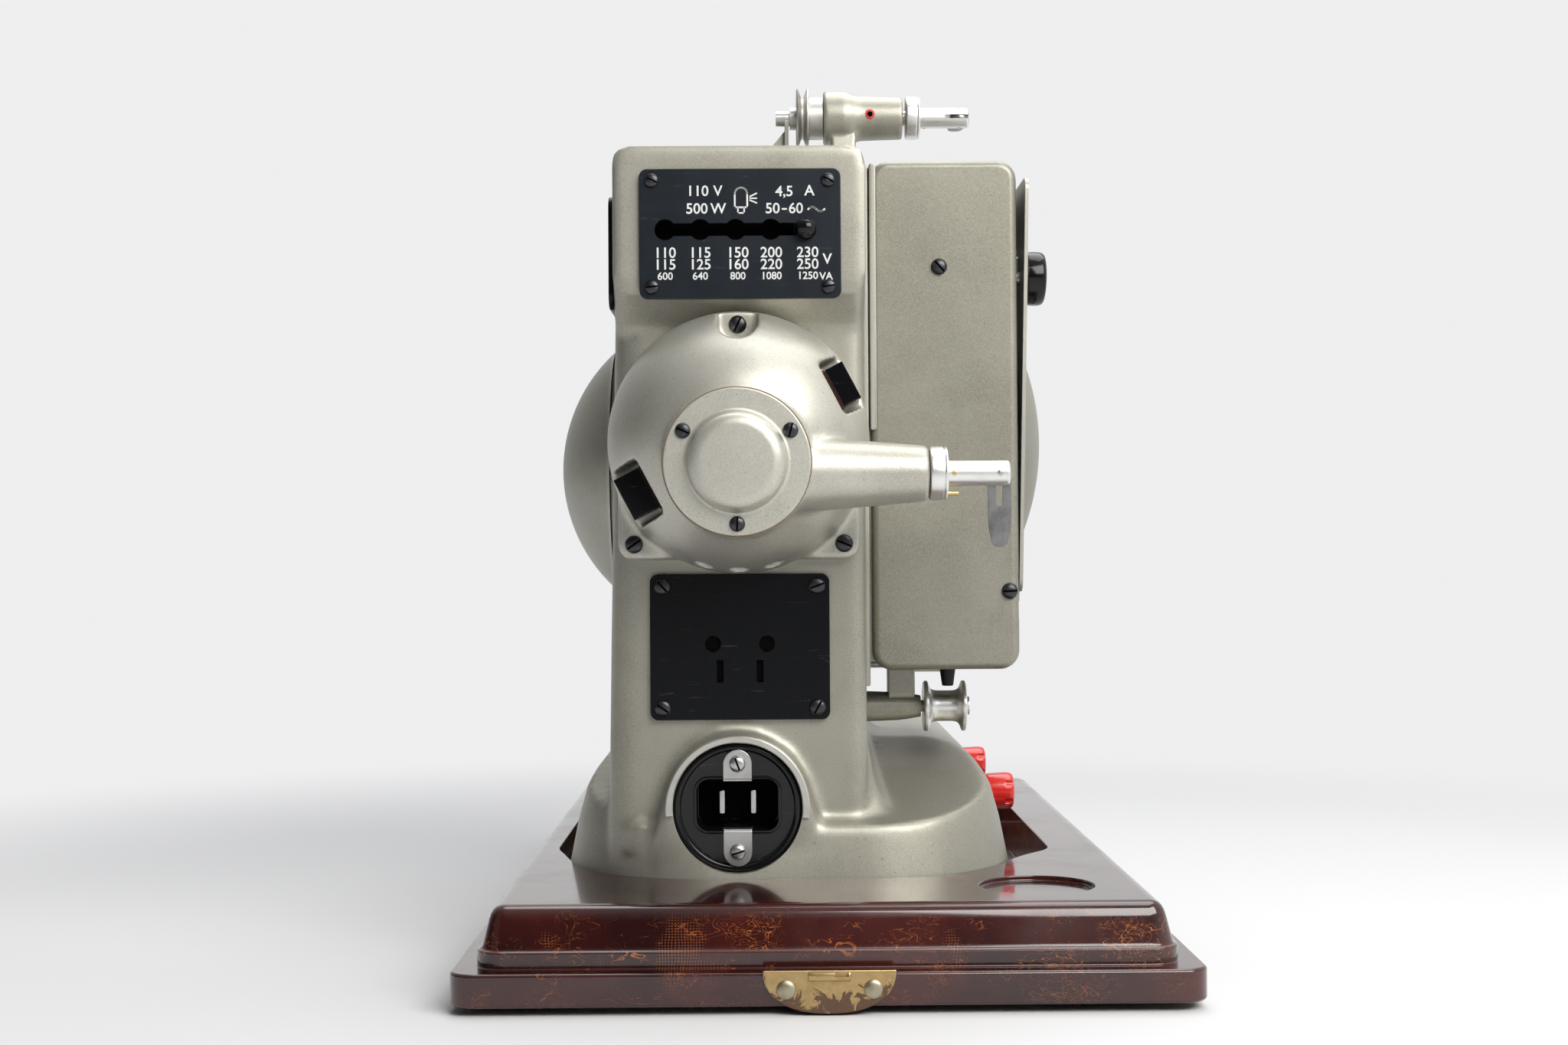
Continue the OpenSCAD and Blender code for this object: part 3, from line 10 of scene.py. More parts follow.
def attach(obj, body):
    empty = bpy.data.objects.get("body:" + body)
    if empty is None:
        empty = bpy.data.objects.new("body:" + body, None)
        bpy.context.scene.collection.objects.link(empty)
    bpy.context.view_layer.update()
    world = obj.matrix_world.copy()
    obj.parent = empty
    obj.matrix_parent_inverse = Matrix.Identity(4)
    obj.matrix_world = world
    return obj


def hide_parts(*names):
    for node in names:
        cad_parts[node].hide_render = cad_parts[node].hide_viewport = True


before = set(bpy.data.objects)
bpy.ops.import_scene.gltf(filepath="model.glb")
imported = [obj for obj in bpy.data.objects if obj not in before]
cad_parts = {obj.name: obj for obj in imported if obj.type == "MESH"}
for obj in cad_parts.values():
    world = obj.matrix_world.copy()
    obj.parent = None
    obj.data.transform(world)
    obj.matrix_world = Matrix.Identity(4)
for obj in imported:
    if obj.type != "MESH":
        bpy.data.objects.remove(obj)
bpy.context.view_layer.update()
MM = 0.001
ROOT = "projector"


# Materials
class Wire:
    """One value inside a material, so that shader sums read as sums."""

    def __init__(self, paint, socket):
        self.paint, self.socket = paint, socket

    def _sum(self, operation, first, second):
        return self.paint.node("ShaderNodeMath", {"operation": operation}, {0: first, 1: second})

    def __add__(self, other):
        return self._sum("ADD", self, other)

    def __radd__(self, other):
        return self._sum("ADD", other, self)

    def __sub__(self, other):
        return self._sum("SUBTRACT", self, other)

    def __rsub__(self, other):
        return self._sum("SUBTRACT", other, self)

    def __mul__(self, other):
        return self._sum("MULTIPLY", self, other)

    def __rmul__(self, other):
        return self._sum("MULTIPLY", other, self)

    def __abs__(self):
        return self._sum("ABSOLUTE", self, 0.0)


SOCKETS = {"colour": "Base Color", "metal": "Metallic", "rough": "Roughness", "normal": "Normal",
           "coat": "Coat Weight", "coat_rough": "Coat Roughness", "gloss": "Specular IOR Level",
           "clear": "Transmission Weight", "ior": "IOR"}


class Paint:
    """The nodes of a material, or of the world."""

    def __init__(self, owner):
        owner.use_nodes = True
        self.owner, self.tree = owner, owner.node_tree
        self.tree.nodes.clear()
        self.place = self.node("ShaderNodeTexCoord", out="Object")

    def node(self, kind, settings=None, inputs=None, out=0):
        made = self.tree.nodes.new(kind)
        for key, value in (settings or {}).items():
            if key == "stops":
                while len(made.color_ramp.elements) < len(value):
                    made.color_ramp.elements.new(0.5)
                for element, (position, colour) in zip(made.color_ramp.elements, value):
                    element.position, element.color = position, (*colour, 1.0)
            else:
                setattr(made, key, value)
        for key, value in (inputs or {}).items():
            if isinstance(value, Wire):
                self.tree.links.new(value.socket, made.inputs[key])
            else:
                if made.inputs[key].type == "RGBA" and len(value) == 3:
                    value = (*value, 1.0)
                made.inputs[key].default_value = value
        return Wire(self, made.outputs[out])

    def noise(self, scale, detail=2.0, rough=0.5, distort=0.0, at=None):
        return self.node("ShaderNodeTexNoise", None,
                         {"Vector": at or self.place, "Scale": scale, "Detail": detail,
                          "Roughness": rough, "Distortion": distort})

    def mapped(self, scale=(1, 1, 1), turn=(0, 0, 0)):
        return self.node("ShaderNodeMapping", None,
                         {"Vector": self.place, "Scale": scale, "Rotation": turn})

    def axis(self, name):
        return self.node("ShaderNodeSeparateXYZ", None, {"Vector": self.place}, out=name)

    def wave(self, value):
        return self.node("ShaderNodeMath", {"operation": "SINE"}, {0: value})

    def step(self, value, low, high, first=0.0, last=1.0):
        return self.node("ShaderNodeMapRange", {"interpolation_type": "SMOOTHSTEP"},
                         {"Value": value, "From Min": low, "From Max": high,
                          "To Min": first, "To Max": last})

    def mix(self, factor, first, second):
        return self.node("ShaderNodeMix", {"data_type": "RGBA"}, {0: factor, 6: first, 7: second}, out=2)

    def edges(self, low=0.51, high=0.58):
        return self.step(self.node("ShaderNodeNewGeometry", out="Pointiness"), low, high)

    def bump(self, height, distance, strength=1.0, under=None):
        inputs = {"Height": height, "Distance": distance, "Strength": strength}
        if under is not None:
            inputs["Normal"] = under
        return self.node("ShaderNodeBump", None, inputs)

    def finish(self, **values):
        shader = self.node("ShaderNodeBsdfPrincipled", None,
                           {SOCKETS[key]: value for key, value in values.items()})
        return self.show(shader, "Material")

    def show(self, shader, kind):
        out = self.tree.nodes.new("ShaderNodeOutput" + kind)
        self.tree.links.new(shader.socket, out.inputs["Surface"])
        return self.owner


def new_paint(name):
    return Paint(bpy.data.materials.new(name))


def scaled(colour, factor, lift=0.0):
    """The same colour, darker or paler."""
    return tuple(min(1, c * factor + lift) for c in colour)


def hammertone(name, tone, dark, metal=0.62, rough=0.4):
    """Satin metallic stove enamel: fine pigment grain, faint orange peel, handling marks."""
    p = new_paint(name)
    grain = p.noise(2600, 2, 0.6)
    peel = p.noise(420, 2, 0.5)
    cloud = p.noise(14, 3, 0.55)
    specks = p.step(p.noise(900, 1, 0.5), 0.71, 0.76)
    colour = p.mix(p.step(cloud, 0.3, 0.72), tone, dark)
    stains = p.step(p.noise(34, 5, 0.62, 0.3), 0.46, 0.72)
    colour = p.mix(stains * 0.45, colour, scaled(dark, 0.72))
    colour = p.mix(p.step(grain, 0.35, 0.68) * 0.42, colour, scaled(tone, 1.42))
    colour = p.mix(p.step(p.noise(1300, 2, 0.7), 0.60, 0.74) * 0.30, colour, scaled(dark, 0.62))
    colour = p.mix(specks * 0.35, colour, scaled(dark, 0.4))
    worn = p.edges(0.53, 0.62)
    colour = p.mix(worn * 0.28, colour, (0.78, 0.77, 0.72))
    roughness = rough - 0.05 + 0.12 * p.noise(60, 3, 0.6) + 0.06 * grain
    normal = p.bump(peel, 0.00010, 0.22)
    normal = p.bump(grain, 0.00004, 0.30, normal)
    return p.finish(colour=colour, metal=metal, rough=roughness, normal=normal,
                    coat=0.18, coat_rough=0.32)


WEAVE = 3300.0  # radians of wave per metre in the cloth filler


def bakelite(name):
    """Dark pressed resin with cloth filler: amber threads, patches of weave, a glossy skin."""
    p = new_paint(name)
    cloud = p.noise(22, 4, 0.6)
    base = p.mix(p.step(cloud, 0.3, 0.7), (0.020, 0.0045, 0.0045), (0.060, 0.010, 0.008))
    threads = None
    for index, (scale, seed) in enumerate(((170, 0.0), (240, 1.3), (120, 2.6))):
        at = p.mapped((1.0, 1.0, 1.7), (seed, seed * 0.7, seed * 0.4))
        ridge = abs(p.noise(scale, 1.5, 0.5, 1.6, at) - 0.5)
        line = p.step(ridge, 0.004, 0.017, 1.0, 0.0)
        patch = p.step(p.noise(30 + 14 * index, 2, 0.5, 0.0, at), 0.53, 0.66)
        line = line * patch
        threads = line if threads is None else threads + line
    side, deep, tall = (p.axis(name) * WEAVE for name in "XYZ")
    bend = p.noise(90, 2, 0.5) * 9.0
    weave = p.wave(side + tall + deep * 0.8 + bend) * p.wave(side - tall - deep * 0.8 + bend)
    shreds = p.noise(38, 2, 0.5, 0.0, p.mapped((1, 1, 1), (0.13, 0.4, 0.2)))
    weave = p.step(weave, 0.35, 0.75) * p.step(shreds, 0.585, 0.64)
    amber = p.mix(p.noise(80, 2, 0.6), (0.34, 0.070, 0.012), (0.62, 0.22, 0.05))
    height = p.step(p.axis("Z"), 0.0235, 0.0285, 1.0, 0.10) * p.step(p.axis("Z"), 0.0115, 0.0135, 0.30, 1.0)
    flecks = p.node("ShaderNodeMath", {"operation": "MINIMUM"}, {0: threads * 0.75 + weave * 0.5, 1: 1.0})
    colour = p.mix(flecks * height, base, amber)
    dust = p.step(p.noise(700, 3, 0.7), 0.62, 0.80) * 0.10
    colour = p.mix(dust, colour, (0.42, 0.36, 0.32))
    worn = p.edges(0.56, 0.66)
    colour = p.mix(worn * 0.45, colour, (0.26, 0.10, 0.06))
    roughness = 0.13 + 0.10 * p.step(p.noise(30, 4, 0.6), 0.4, 0.7) + dust
    return p.finish(colour=colour, rough=roughness, coat=0.55, coat_rough=0.06,
                    normal=p.bump(p.noise(60, 2, 0.5), 0.0004, 0.10))


def plastic(name, tone, rough=0.4, mottle=0.25, peel=0.06, coat=0.0, wear=0.12, gleam=0.5):
    """Moulded or pressed plastic with faint handling marks and paler edges."""
    p = new_paint(name)
    cloud = p.noise(90, 4, 0.6)
    colour = p.mix(p.step(cloud, 0.35, 0.75) * mottle, tone, scaled(tone, 1.8, 0.01))
    marks = p.step(p.noise(60, 5, 0.75, 0.4, p.mapped((1, 1, 9), (0.3, 0.5, 0.2))), 0.62, 0.70)
    colour = p.mix(marks * 0.06, colour, (0.5, 0.5, 0.5))
    colour = p.mix(p.edges(0.54, 0.64) * wear, colour, scaled(tone, 2.2, 0.10))
    return p.finish(colour=colour, rough=rough + marks * 0.12 + (cloud - 0.5) * 0.10, coat=coat,
                    coat_rough=0.08, gloss=gleam, normal=p.bump(p.noise(1500, 2, 0.5), 0.00004, peel * 4))


def metal(name, tone, rough=0.28, stain=0.25, dark=None, lines=1):
    """Turned or sheet metal: fine tool marks, drawn out into lines across X, dull stains, bright edges."""
    p = new_paint(name)
    cloud = p.noise(160, 4, 0.6)
    colour = p.mix(p.step(cloud, 0.4, 0.75) * stain, tone, dark or scaled(tone, 0.55))
    tool = p.noise(900, 3, 0.7, 0.0, p.mapped((lines, 1, 1)))
    colour = p.mix(p.edges(0.54, 0.64) * 0.3, colour, scaled(tone, 1.3))
    return p.finish(colour=colour, metal=1.0, rough=rough - 0.05 + tool * 0.10 + cloud * 0.05,
                    normal=p.bump(tool, 0.00002, 0.25))


def worn_brass(name):
    """Old lacquered brass: the pale gilt skin chipped away to dark brown metal."""
    p = new_paint(name)
    chips = p.step(p.noise(190, 5, 0.68, 0.6), 0.50, 0.53)
    low = p.step(p.axis("Z"), 0.001, 0.012, 0.20, -0.07)
    chips = p.step(p.noise(150, 5, 0.70, 0.8) + low, 0.56, 0.60) + chips * 0.12
    skin = p.mix(p.noise(320, 3, 0.6), (0.40, 0.25, 0.09), (0.60, 0.45, 0.23))
    colour = p.mix(chips, skin, (0.13, 0.075, 0.045))
    return p.finish(colour=colour, metal=0.85 - chips * 0.5, rough=0.36 + chips * 0.3,
                    normal=p.bump(chips, 0.00012, -0.8))


def clear_glass(name):
    """Glass with a slight bloom of dust."""
    p = new_paint(name)
    dust = p.step(p.noise(300, 4, 0.7), 0.5, 0.8)
    return p.finish(colour=p.mix(dust * 0.12, (0.97, 0.99, 1.0), (0.75, 0.75, 0.72)),
                    rough=0.02 + dust * 0.05, clear=1.0, ior=1.5)


BODY = hammertone("enamel_body", (0.370, 0.360, 0.305), (0.300, 0.290, 0.238))
SHEET = hammertone("enamel_lamphouse", (0.300, 0.290, 0.240), (0.220, 0.212, 0.168), 0.6, 0.40)
DOME = hammertone("enamel_dome", (0.500, 0.490, 0.430), (0.400, 0.390, 0.330), 0.62, 0.38)
RESIN = bakelite("resin_base")
PLATE = plastic("plate_black", (0.0030, 0.0035, 0.0045), 0.26, 0.0, 0.02, 0.0, 0.0, 0.18)
SLATE = plastic("plate_slate", (0.009, 0.013, 0.018), 0.32, 0.1, 0.03, 0.0, 0.0, 0.35)
GLOSS = plastic("moulding_black", (0.004, 0.004, 0.005), 0.15, 0.0, 0.015, 0.1, 0.03, 0.3)
RUBBER = plastic("pad_rubber", (0.020, 0.020, 0.020), 0.8, 0.4, 0.2)
RED = plastic("knob_red", (0.60, 0.018, 0.012), 0.22, 0.2, 0.02, 0.4)
BRASS_PLATE = worn_brass("catch_brass")
RIVET = metal("rivet_brass", (0.46, 0.42, 0.30), 0.40, 0.6, (0.22, 0.17, 0.10))
BRASS = metal("brass", (0.72, 0.52, 0.24), 0.32, 0.5, (0.32, 0.20, 0.09))
STEEL = metal("steel", (0.58, 0.58, 0.57), 0.30, 0.4)
BRIGHT = metal("bright_metal", (0.84, 0.84, 0.82), 0.33, 0.12, lines=9)
CAST = metal("bare_casting", (0.60, 0.59, 0.56), 0.42, 0.4)
BLUED = metal("blued_screws", (0.070, 0.071, 0.076), 0.34, 0.5, (0.03, 0.03, 0.03))
IRON = plastic("motor_iron", (0.09, 0.06, 0.045), 0.5)
BLACK = metal("black_metal", (0.030, 0.030, 0.032), 0.40, 0.3)
SILVERED = metal("silvered", (0.92, 0.93, 0.94), 0.06, 0.1)
GLASS = clear_glass("clear_glass")
INK = plastic("plate_letters", (0.66, 0.67, 0.66), 0.5, 0.2)
RIM_RED = plastic("oil_mark_red", (0.62, 0.03, 0.015), 0.4)
# Painted shade: near-black paint for the floors of holes, slots and wells, standing in for the shade in
# their depth.
PAINTED_SHADE = plastic("painted_hole_shade", (0.0008, 0.0008, 0.0009), 0.6, 0.0, 0.02, 0.0, 0.0, 0.05)
TARNISHED = metal("tarnished_brass", (0.10, 0.07, 0.04), 0.5, 0.6, (0.02, 0.015, 0.01))
MACHINED = metal("machined_rim", (0.66, 0.65, 0.60), 0.36, 0.3)
GRIME = plastic("brown_grime", (0.16, 0.11, 0.055), 0.7)
DULL_STEEL = metal("dull_steel", (0.30, 0.30, 0.30), 0.36, 0.7, (0.10, 0.10, 0.10))
FIBRE = plastic("red_fibre", (0.11, 0.022, 0.015), 0.6)


# Making meshes
scene = bpy.context.scene


def at(x, y, z):
    return Vector((x, y, z)) * MM


def new_mesh():
    return bmesh.new()


def round_edges(bm, edges, width, segments=3):
    bmesh.ops.bevel(bm, geom=list(edges), offset=width * MM, offset_type="OFFSET",
                    segments=segments, profile=0.5, affect="EDGES", material=-1,
                    clamp_overlap=True)


def edges_along(bm, direction):
    direction = Vector(direction)
    found = []
    for edge in bm.edges:
        line = edge.verts[1].co - edge.verts[0].co
        if line.length > 1e-7 and abs(line.normalized().dot(direction)) > 0.99:
            found.append(edge)
    return found


def rim_edges(bm, direction):
    """Edges round the flat faces that look along a direction, either way."""
    bm.normal_update()
    direction = Vector(direction)
    found = []
    for edge in bm.edges:
        flats = [abs(face.normal.dot(direction)) > 0.99 for face in edge.link_faces]
        if len(flats) == 2 and flats[0] != flats[1]:
            found.append(edge)
    return found


AXES = {"x": (1, 0, 0), "y": (0, 1, 0), "z": (0, 0, 1)}


def slab(low, high, axis="y", corner=2.0, edge=0.3, steps=6):
    """Plate with rounded corners and softened rims, as its own small bmesh."""
    bm = new_mesh()
    low, high = Vector(low), Vector(high)
    matrix = Matrix.Translation((high + low) / 2 * MM) @ Matrix.Diagonal((*((high - low) * MM), 1))
    bmesh.ops.create_cube(bm, size=1, matrix=matrix)
    if corner:
        round_edges(bm, edges_along(bm, AXES[axis]), corner, steps)
    if edge:
        round_edges(bm, rim_edges(bm, AXES[axis]), edge, 2)
    return bm


def block(low, high):
    """Plain block with sharp edges."""
    return slab(low, high, corner=0, edge=0)


def turned(axis, centre, profile, steps=64):
    """Profile of (radius, length) spun about an axis through a point, in millimetres."""
    bm = new_mesh()
    along = Vector(AXES[axis])
    out = Vector((0, 0, 1)) if axis != "z" else Vector((1, 0, 0))
    centre = Vector(centre)
    line = [bm.verts.new((centre + along * length + out * radius) * MM) for radius, length in profile]
    edges = [bm.edges.new((a, b)) for a, b in zip(line, line[1:])]
    bmesh.ops.spin(bm, geom=line + edges, cent=centre * MM, axis=along, dvec=(0, 0, 0),
                   angle=2 * pi, steps=steps, use_merge=True, use_duplicate=False)
    bmesh.ops.remove_doubles(bm, verts=bm.verts, dist=1e-7)
    bmesh.ops.recalc_face_normals(bm, faces=bm.faces)
    return bm


def rod(axis, centre, low, high, radius, radius2=None, edge=0.0, steps=48):
    """Round bar or cone, closed at both ends."""
    end = radius if radius2 is None else radius2
    if edge:
        profile = [(0, low), (radius - edge, low), (radius - edge * 0.3, low + edge * 0.3),
                   (radius, low + edge), (end, high - edge), (end - edge * 0.3, high - edge * 0.3),
                   (end - edge, high), (0, high)]
    else:
        profile = [(0, low), (radius, low), (end, high), (0, high)]
    return turned(axis, centre, profile, steps)


def joined(*parts):
    """Several small bmeshes in one."""
    bm = new_mesh()
    for part in parts:
        mesh = bpy.data.meshes.new("part")
        part.to_mesh(mesh)
        part.free()
        bm.from_mesh(mesh)
        bpy.data.meshes.remove(mesh)
    return bm


def moved(bm, matrix):
    bmesh.ops.transform(bm, matrix=matrix, verts=bm.verts)
    return bm


def turn_at(centre, angle, axis):
    centre = Vector(centre) * MM
    return (Matrix.Translation(centre) @ Matrix.Rotation(radians(angle), 4, axis.upper())
            @ Matrix.Translation(-centre))


def shade(mesh, angle=35):
    for face in mesh.polygons:
        face.use_smooth = True
    mesh.set_sharp_from_angle(angle=radians(angle))


def piece(name, bm, paint, body=ROOT, angle=35):
    """A finished piece: its mesh in place, its paint on, riding on its body."""
    bmesh.ops.recalc_face_normals(bm, faces=bm.faces)
    mesh = bpy.data.meshes.new(name)
    bm.to_mesh(mesh)
    bm.free()
    mesh.materials.append(paint)
    shade(mesh, angle)
    made = bpy.data.objects.new(name, mesh)
    scene.collection.objects.link(made)
    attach(made, body)
    return made


def helper(name, bm):
    """A shape that only cuts or joins, removed again later."""
    bmesh.ops.recalc_face_normals(bm, faces=bm.faces)
    mesh = bpy.data.meshes.new(name)
    bm.to_mesh(mesh)
    bm.free()
    made = bpy.data.objects.new(name, mesh)
    scene.collection.objects.link(made)
    made.hide_render = True
    return made


def applied(obj, *used):
    """Bakes an object's modifiers into its mesh and removes the shapes they used."""
    bpy.context.view_layer.update()
    graph = bpy.context.evaluated_depsgraph_get()
    mesh = bpy.data.meshes.new_from_object(obj.evaluated_get(graph))
    obj.modifiers.clear()
    old, obj.data = obj.data, mesh
    bpy.data.meshes.remove(old)
    for other in used:
        bpy.data.objects.remove(other, do_unlink=True)
    return obj


def combined(obj, operation, shapes):
    """Joins shapes to a piece, or takes them out of it."""
    tools = [helper(f"tool_{index}", bm) for index, bm in enumerate(shapes)]
    for tool in tools:
        step = obj.modifiers.new("combine", "BOOLEAN")
        step.operation, step.object, step.solver = operation, tool, "EXACT"
    applied(obj, *tools)
    shade(obj.data, 35)
    return obj


def cut(obj, *cutters):
    return combined(obj, "DIFFERENCE", cutters)


def joined_on(obj, *parts):
    return combined(obj, "UNION", parts)


def melt(obj, voxel, passes):
    """Melts a piece's shells together on a fine grid, then smooths what it leaves."""
    grid = obj.modifiers.new("melt", "REMESH")
    grid.mode, grid.voxel_size = "VOXEL", voxel * MM
    smooth = obj.modifiers.new("smooth", "SMOOTH")
    smooth.factor, smooth.iterations = 0.5, passes


def soften(obj, width=0.4, segments=2, angle=32):
    """Rounds the sharp edges of a finished piece."""
    step = obj.modifiers.new("soften", "BEVEL")
    step.width, step.segments = width * MM, segments
    step.limit_method, step.angle_limit = "ANGLE", radians(angle)
    step.use_clamp_overlap, step.harden_normals = True, False
    applied(obj)
    shade(obj.data, 40)
    return obj


def even_normals(obj):
    """Keeps large flat faces evenly shaded beside their rounded rims."""
    step = obj.modifiers.new("even_normals", "WEIGHTED_NORMAL")
    step.keep_sharp, step.weight = True, 100
    return applied(obj)


def cast(name, shells, cutters, paint, voxel, passes, body=ROOT, voxel2=None):
    """A casting: shells melted together with fillets, then its pockets cut and softened."""
    obj = piece(name, joined(*shells), paint, body, 80)
    melt(obj, voxel, passes)
    cut(obj, *cutters)
    if voxel2:
        melt(obj, voxel2, 2)
        applied(obj)
    shade(obj.data, 180 if voxel2 else 40)
    return obj


# Sizes shared with the construction
DECK_Z, WELL_Z, TOP_Z = 30.5, 12.5, 267.0
FOOT_X, FOOT_HALF_W, FOOT_Y0, FOOT_Y1, FOOT_R = -10.5, 75.5, -120.0, 130.0, 50.0
TOWER, TOWER_LEAN = (-67.0, 15.0, -110.0, 12.0), 3.5
BOX_Y0, BOX_Z0 = -119.0, 217.0
MOTOR_X, AXIS_Z, DOME_Y, DOME_R = -26.5, 171.0, -112.0, 42.7
GEAR_Z, GEAR_Y0, GEAR_R, GEAR_BOSS_R = 163.0, -156.0, 22.7, 15.4
SPINDLE_Y, SPINDLE_Z, ARM_TIP = -142.4, 159.5, 33.0
INLET = (-27.5, -117.0, 52.8)
INLET_R = 20.8
VOLT = (-25.5, 238.0, 65.0, 42.0)
SLOT_X, SLOT_Z, VOLT_STEP = -27.0, 239.3, 11.35
SOCK_Z, SOCK_W, SOCK_H = 104.5, 58.5, 47.5
LAMP_BOX = (17.8, 67.4, -91.0, -8.0, 95.4, 267.0)
FEED_Y, FEED_Z, PIVOT_Y, PIVOT_Z = 33.0, 307.0, 26.0, 238.0
RED_Z, RED_YS, RED_X0 = 46.5, (-20.0, 80.0), 62.0
COVER_Y, COVER_Z, COVER_SEAT_X, COVER_SEAT_R = -45.0, 164.5, -70.6, 42.8
DOOR_AJAR, DOOR_DOME, DOOR_DOME_R = 1.3, 9.2, 38.5
DOOR_HINGE, DOOR_KNOB = (64.0, 0.0, 121.7), (-75.0, 229.0)
BRUSHES = ((27.7, 33.2, 34.7, 9.2), (207.7, 31.0, 32.0, 9.8))
DOME_SCREWS = ((-26.5, 209.0), (-60.5, 138.0), (7.5, 138.0))
GEAR_SCREW_ANGLES = (30, 150, 270)
AHEAD = -175.0  # y of a place clear in front of the dome, where its cutters start
OIL_X = 24.0


def hull_of(*parts):
    """Skin stretched over several shapes."""
    bm = new_mesh()
    for part in parts:
        for vert in part.verts:
            bm.verts.new(vert.co)
        part.free()
    bmesh.ops.remove_doubles(bm, verts=bm.verts, dist=1e-6)
    bmesh.ops.convex_hull(bm, input=list(bm.verts))
    bmesh.ops.delete(bm, geom=[v for v in bm.verts if not v.link_faces], context="VERTS")
    bmesh.ops.recalc_face_normals(bm, faces=bm.faces)
    return bm


def raised(bm, stages):
    """Steps a block's top face inwards and upwards, stage by stage, in millimetres."""
    bm.normal_update()
    top = max((f for f in bm.faces if f.normal.z > 0.99), key=lambda f: f.calc_center_median().z)
    for rise, inset in stages:
        bmesh.ops.inset_region(bm, faces=[top], thickness=inset * MM, depth=rise * MM,
                               use_even_offset=True, use_boundary=True)
    return bm


def prism(points, z0, z1):
    """Outline of (x, y, corner radius) drawn up between two heights."""
    bm = new_mesh()
    verts = [bm.verts.new((x * MM, y * MM, z0 * MM)) for x, y, _ in points]
    bm.faces.new(verts)
    for vert, (_, _, radius) in zip(verts, points):
        if radius:
            bmesh.ops.bevel(bm, geom=[vert], offset=radius * MM, offset_type="OFFSET", segments=10,
                            profile=0.5, affect="VERTICES", material=-1)
    made = bmesh.ops.extrude_face_region(bm, geom=list(bm.faces))["geom"]
    bmesh.ops.translate(bm, vec=(0, 0, (z1 - z0) * MM),
                        verts=[v for v in made if isinstance(v, bmesh.types.BMVert)])
    bmesh.ops.recalc_face_normals(bm, faces=bm.faces)
    return bm


# Base of the carrying case
def well_points():
    """The well's outline: wide beside the pedestal, close round its rear, with a short neck."""
    left, right = FOOT_X - FOOT_HALF_W - 1.2, FOOT_X + FOOT_HALF_W + 1.2
    rear = FOOT_Y0 - 1.0
    return [(-92.0, 150, 8), (81.0, 150, 8), (81.0, -58, 6), (right + 2.8, -74, 6), (right - 2.5, -84, 4),
            (right - 8, -98, 22), (right - 30, rear, 22), (left + 30, rear, 22), (left + 8, -98, 22),
            (left + 0.8, -72, 5), (left - 1.5, -62, 4), (-92.0, -50, 5)]


def make_base():
    deck = raised(slab((-105, -173, 11), (105, 173, 17.0), "z", 9, 0, 8),
                  [(0.5, 0.25), (0.2, 0.9), (1.2, 0.45), (7.2, 1.9), (1.7, 0.6), (1.2, 0.8), (0.85, 1.0),
                   (0.45, 1.2), (0.2, 1.6)])
    flange = slab((-112, -180, 2.5), (112, 180, 12.5), "z", 8, 0.9, 8)
    base = piece("base_moulding", deck, RESIN, angle=30)
    joined_on(base, flange)
    recess = rod("z", (66.5, -136, 0), DECK_Z - 1.6, DECK_Z + 3, 18, steps=72)
    under = slab((-95, -163, 0), (95, 163, 6.5), "z", 6, 0, 4)
    cut(base, prism(well_points(), WELL_Z, DECK_Z + 5), recess, under)
    soften(base, 0.7, 3, 40)
    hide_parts("base_board")


make_base()


# Castings
def tower_shell():
    """The tower's shaft: wide rounding on its left edges, and its left wall leans out at the foot."""
    bm = hull_of(slab((TOWER[0], TOWER[2], 30), (TOWER[0] + 30, TOWER[3], 226), "z", 9.0, 0, 8),
                 slab((TOWER[1] - 20, TOWER[2], 30), (TOWER[1], TOWER[3], 226), "z", 4.5, 0))
    for vert in bm.verts:
        if vert.co.x < -45 * MM and vert.co.z < 100 * MM:
            vert.co.x -= TOWER_LEAN * MM
    return bm


def tower_root():
    """The hollow sweep by which the tower's walls run out into the foot; it climbs to the rear."""
    bm = raised(slab((TOWER[0] - 2, TOWER[2] - 3, 38), (TOWER[1] + 13, TOWER[3], 47), "z", 12, 0, 8),
                [(1.6, 4.0), (2.4, 3.0), (3.4, 2.2), (4.6, 1.5), (6.0, 0.9)])
    for vert in bm.verts:
        vert.co.z += (vert.co.y - TOWER[2] * MM) * 0.18
    return bm


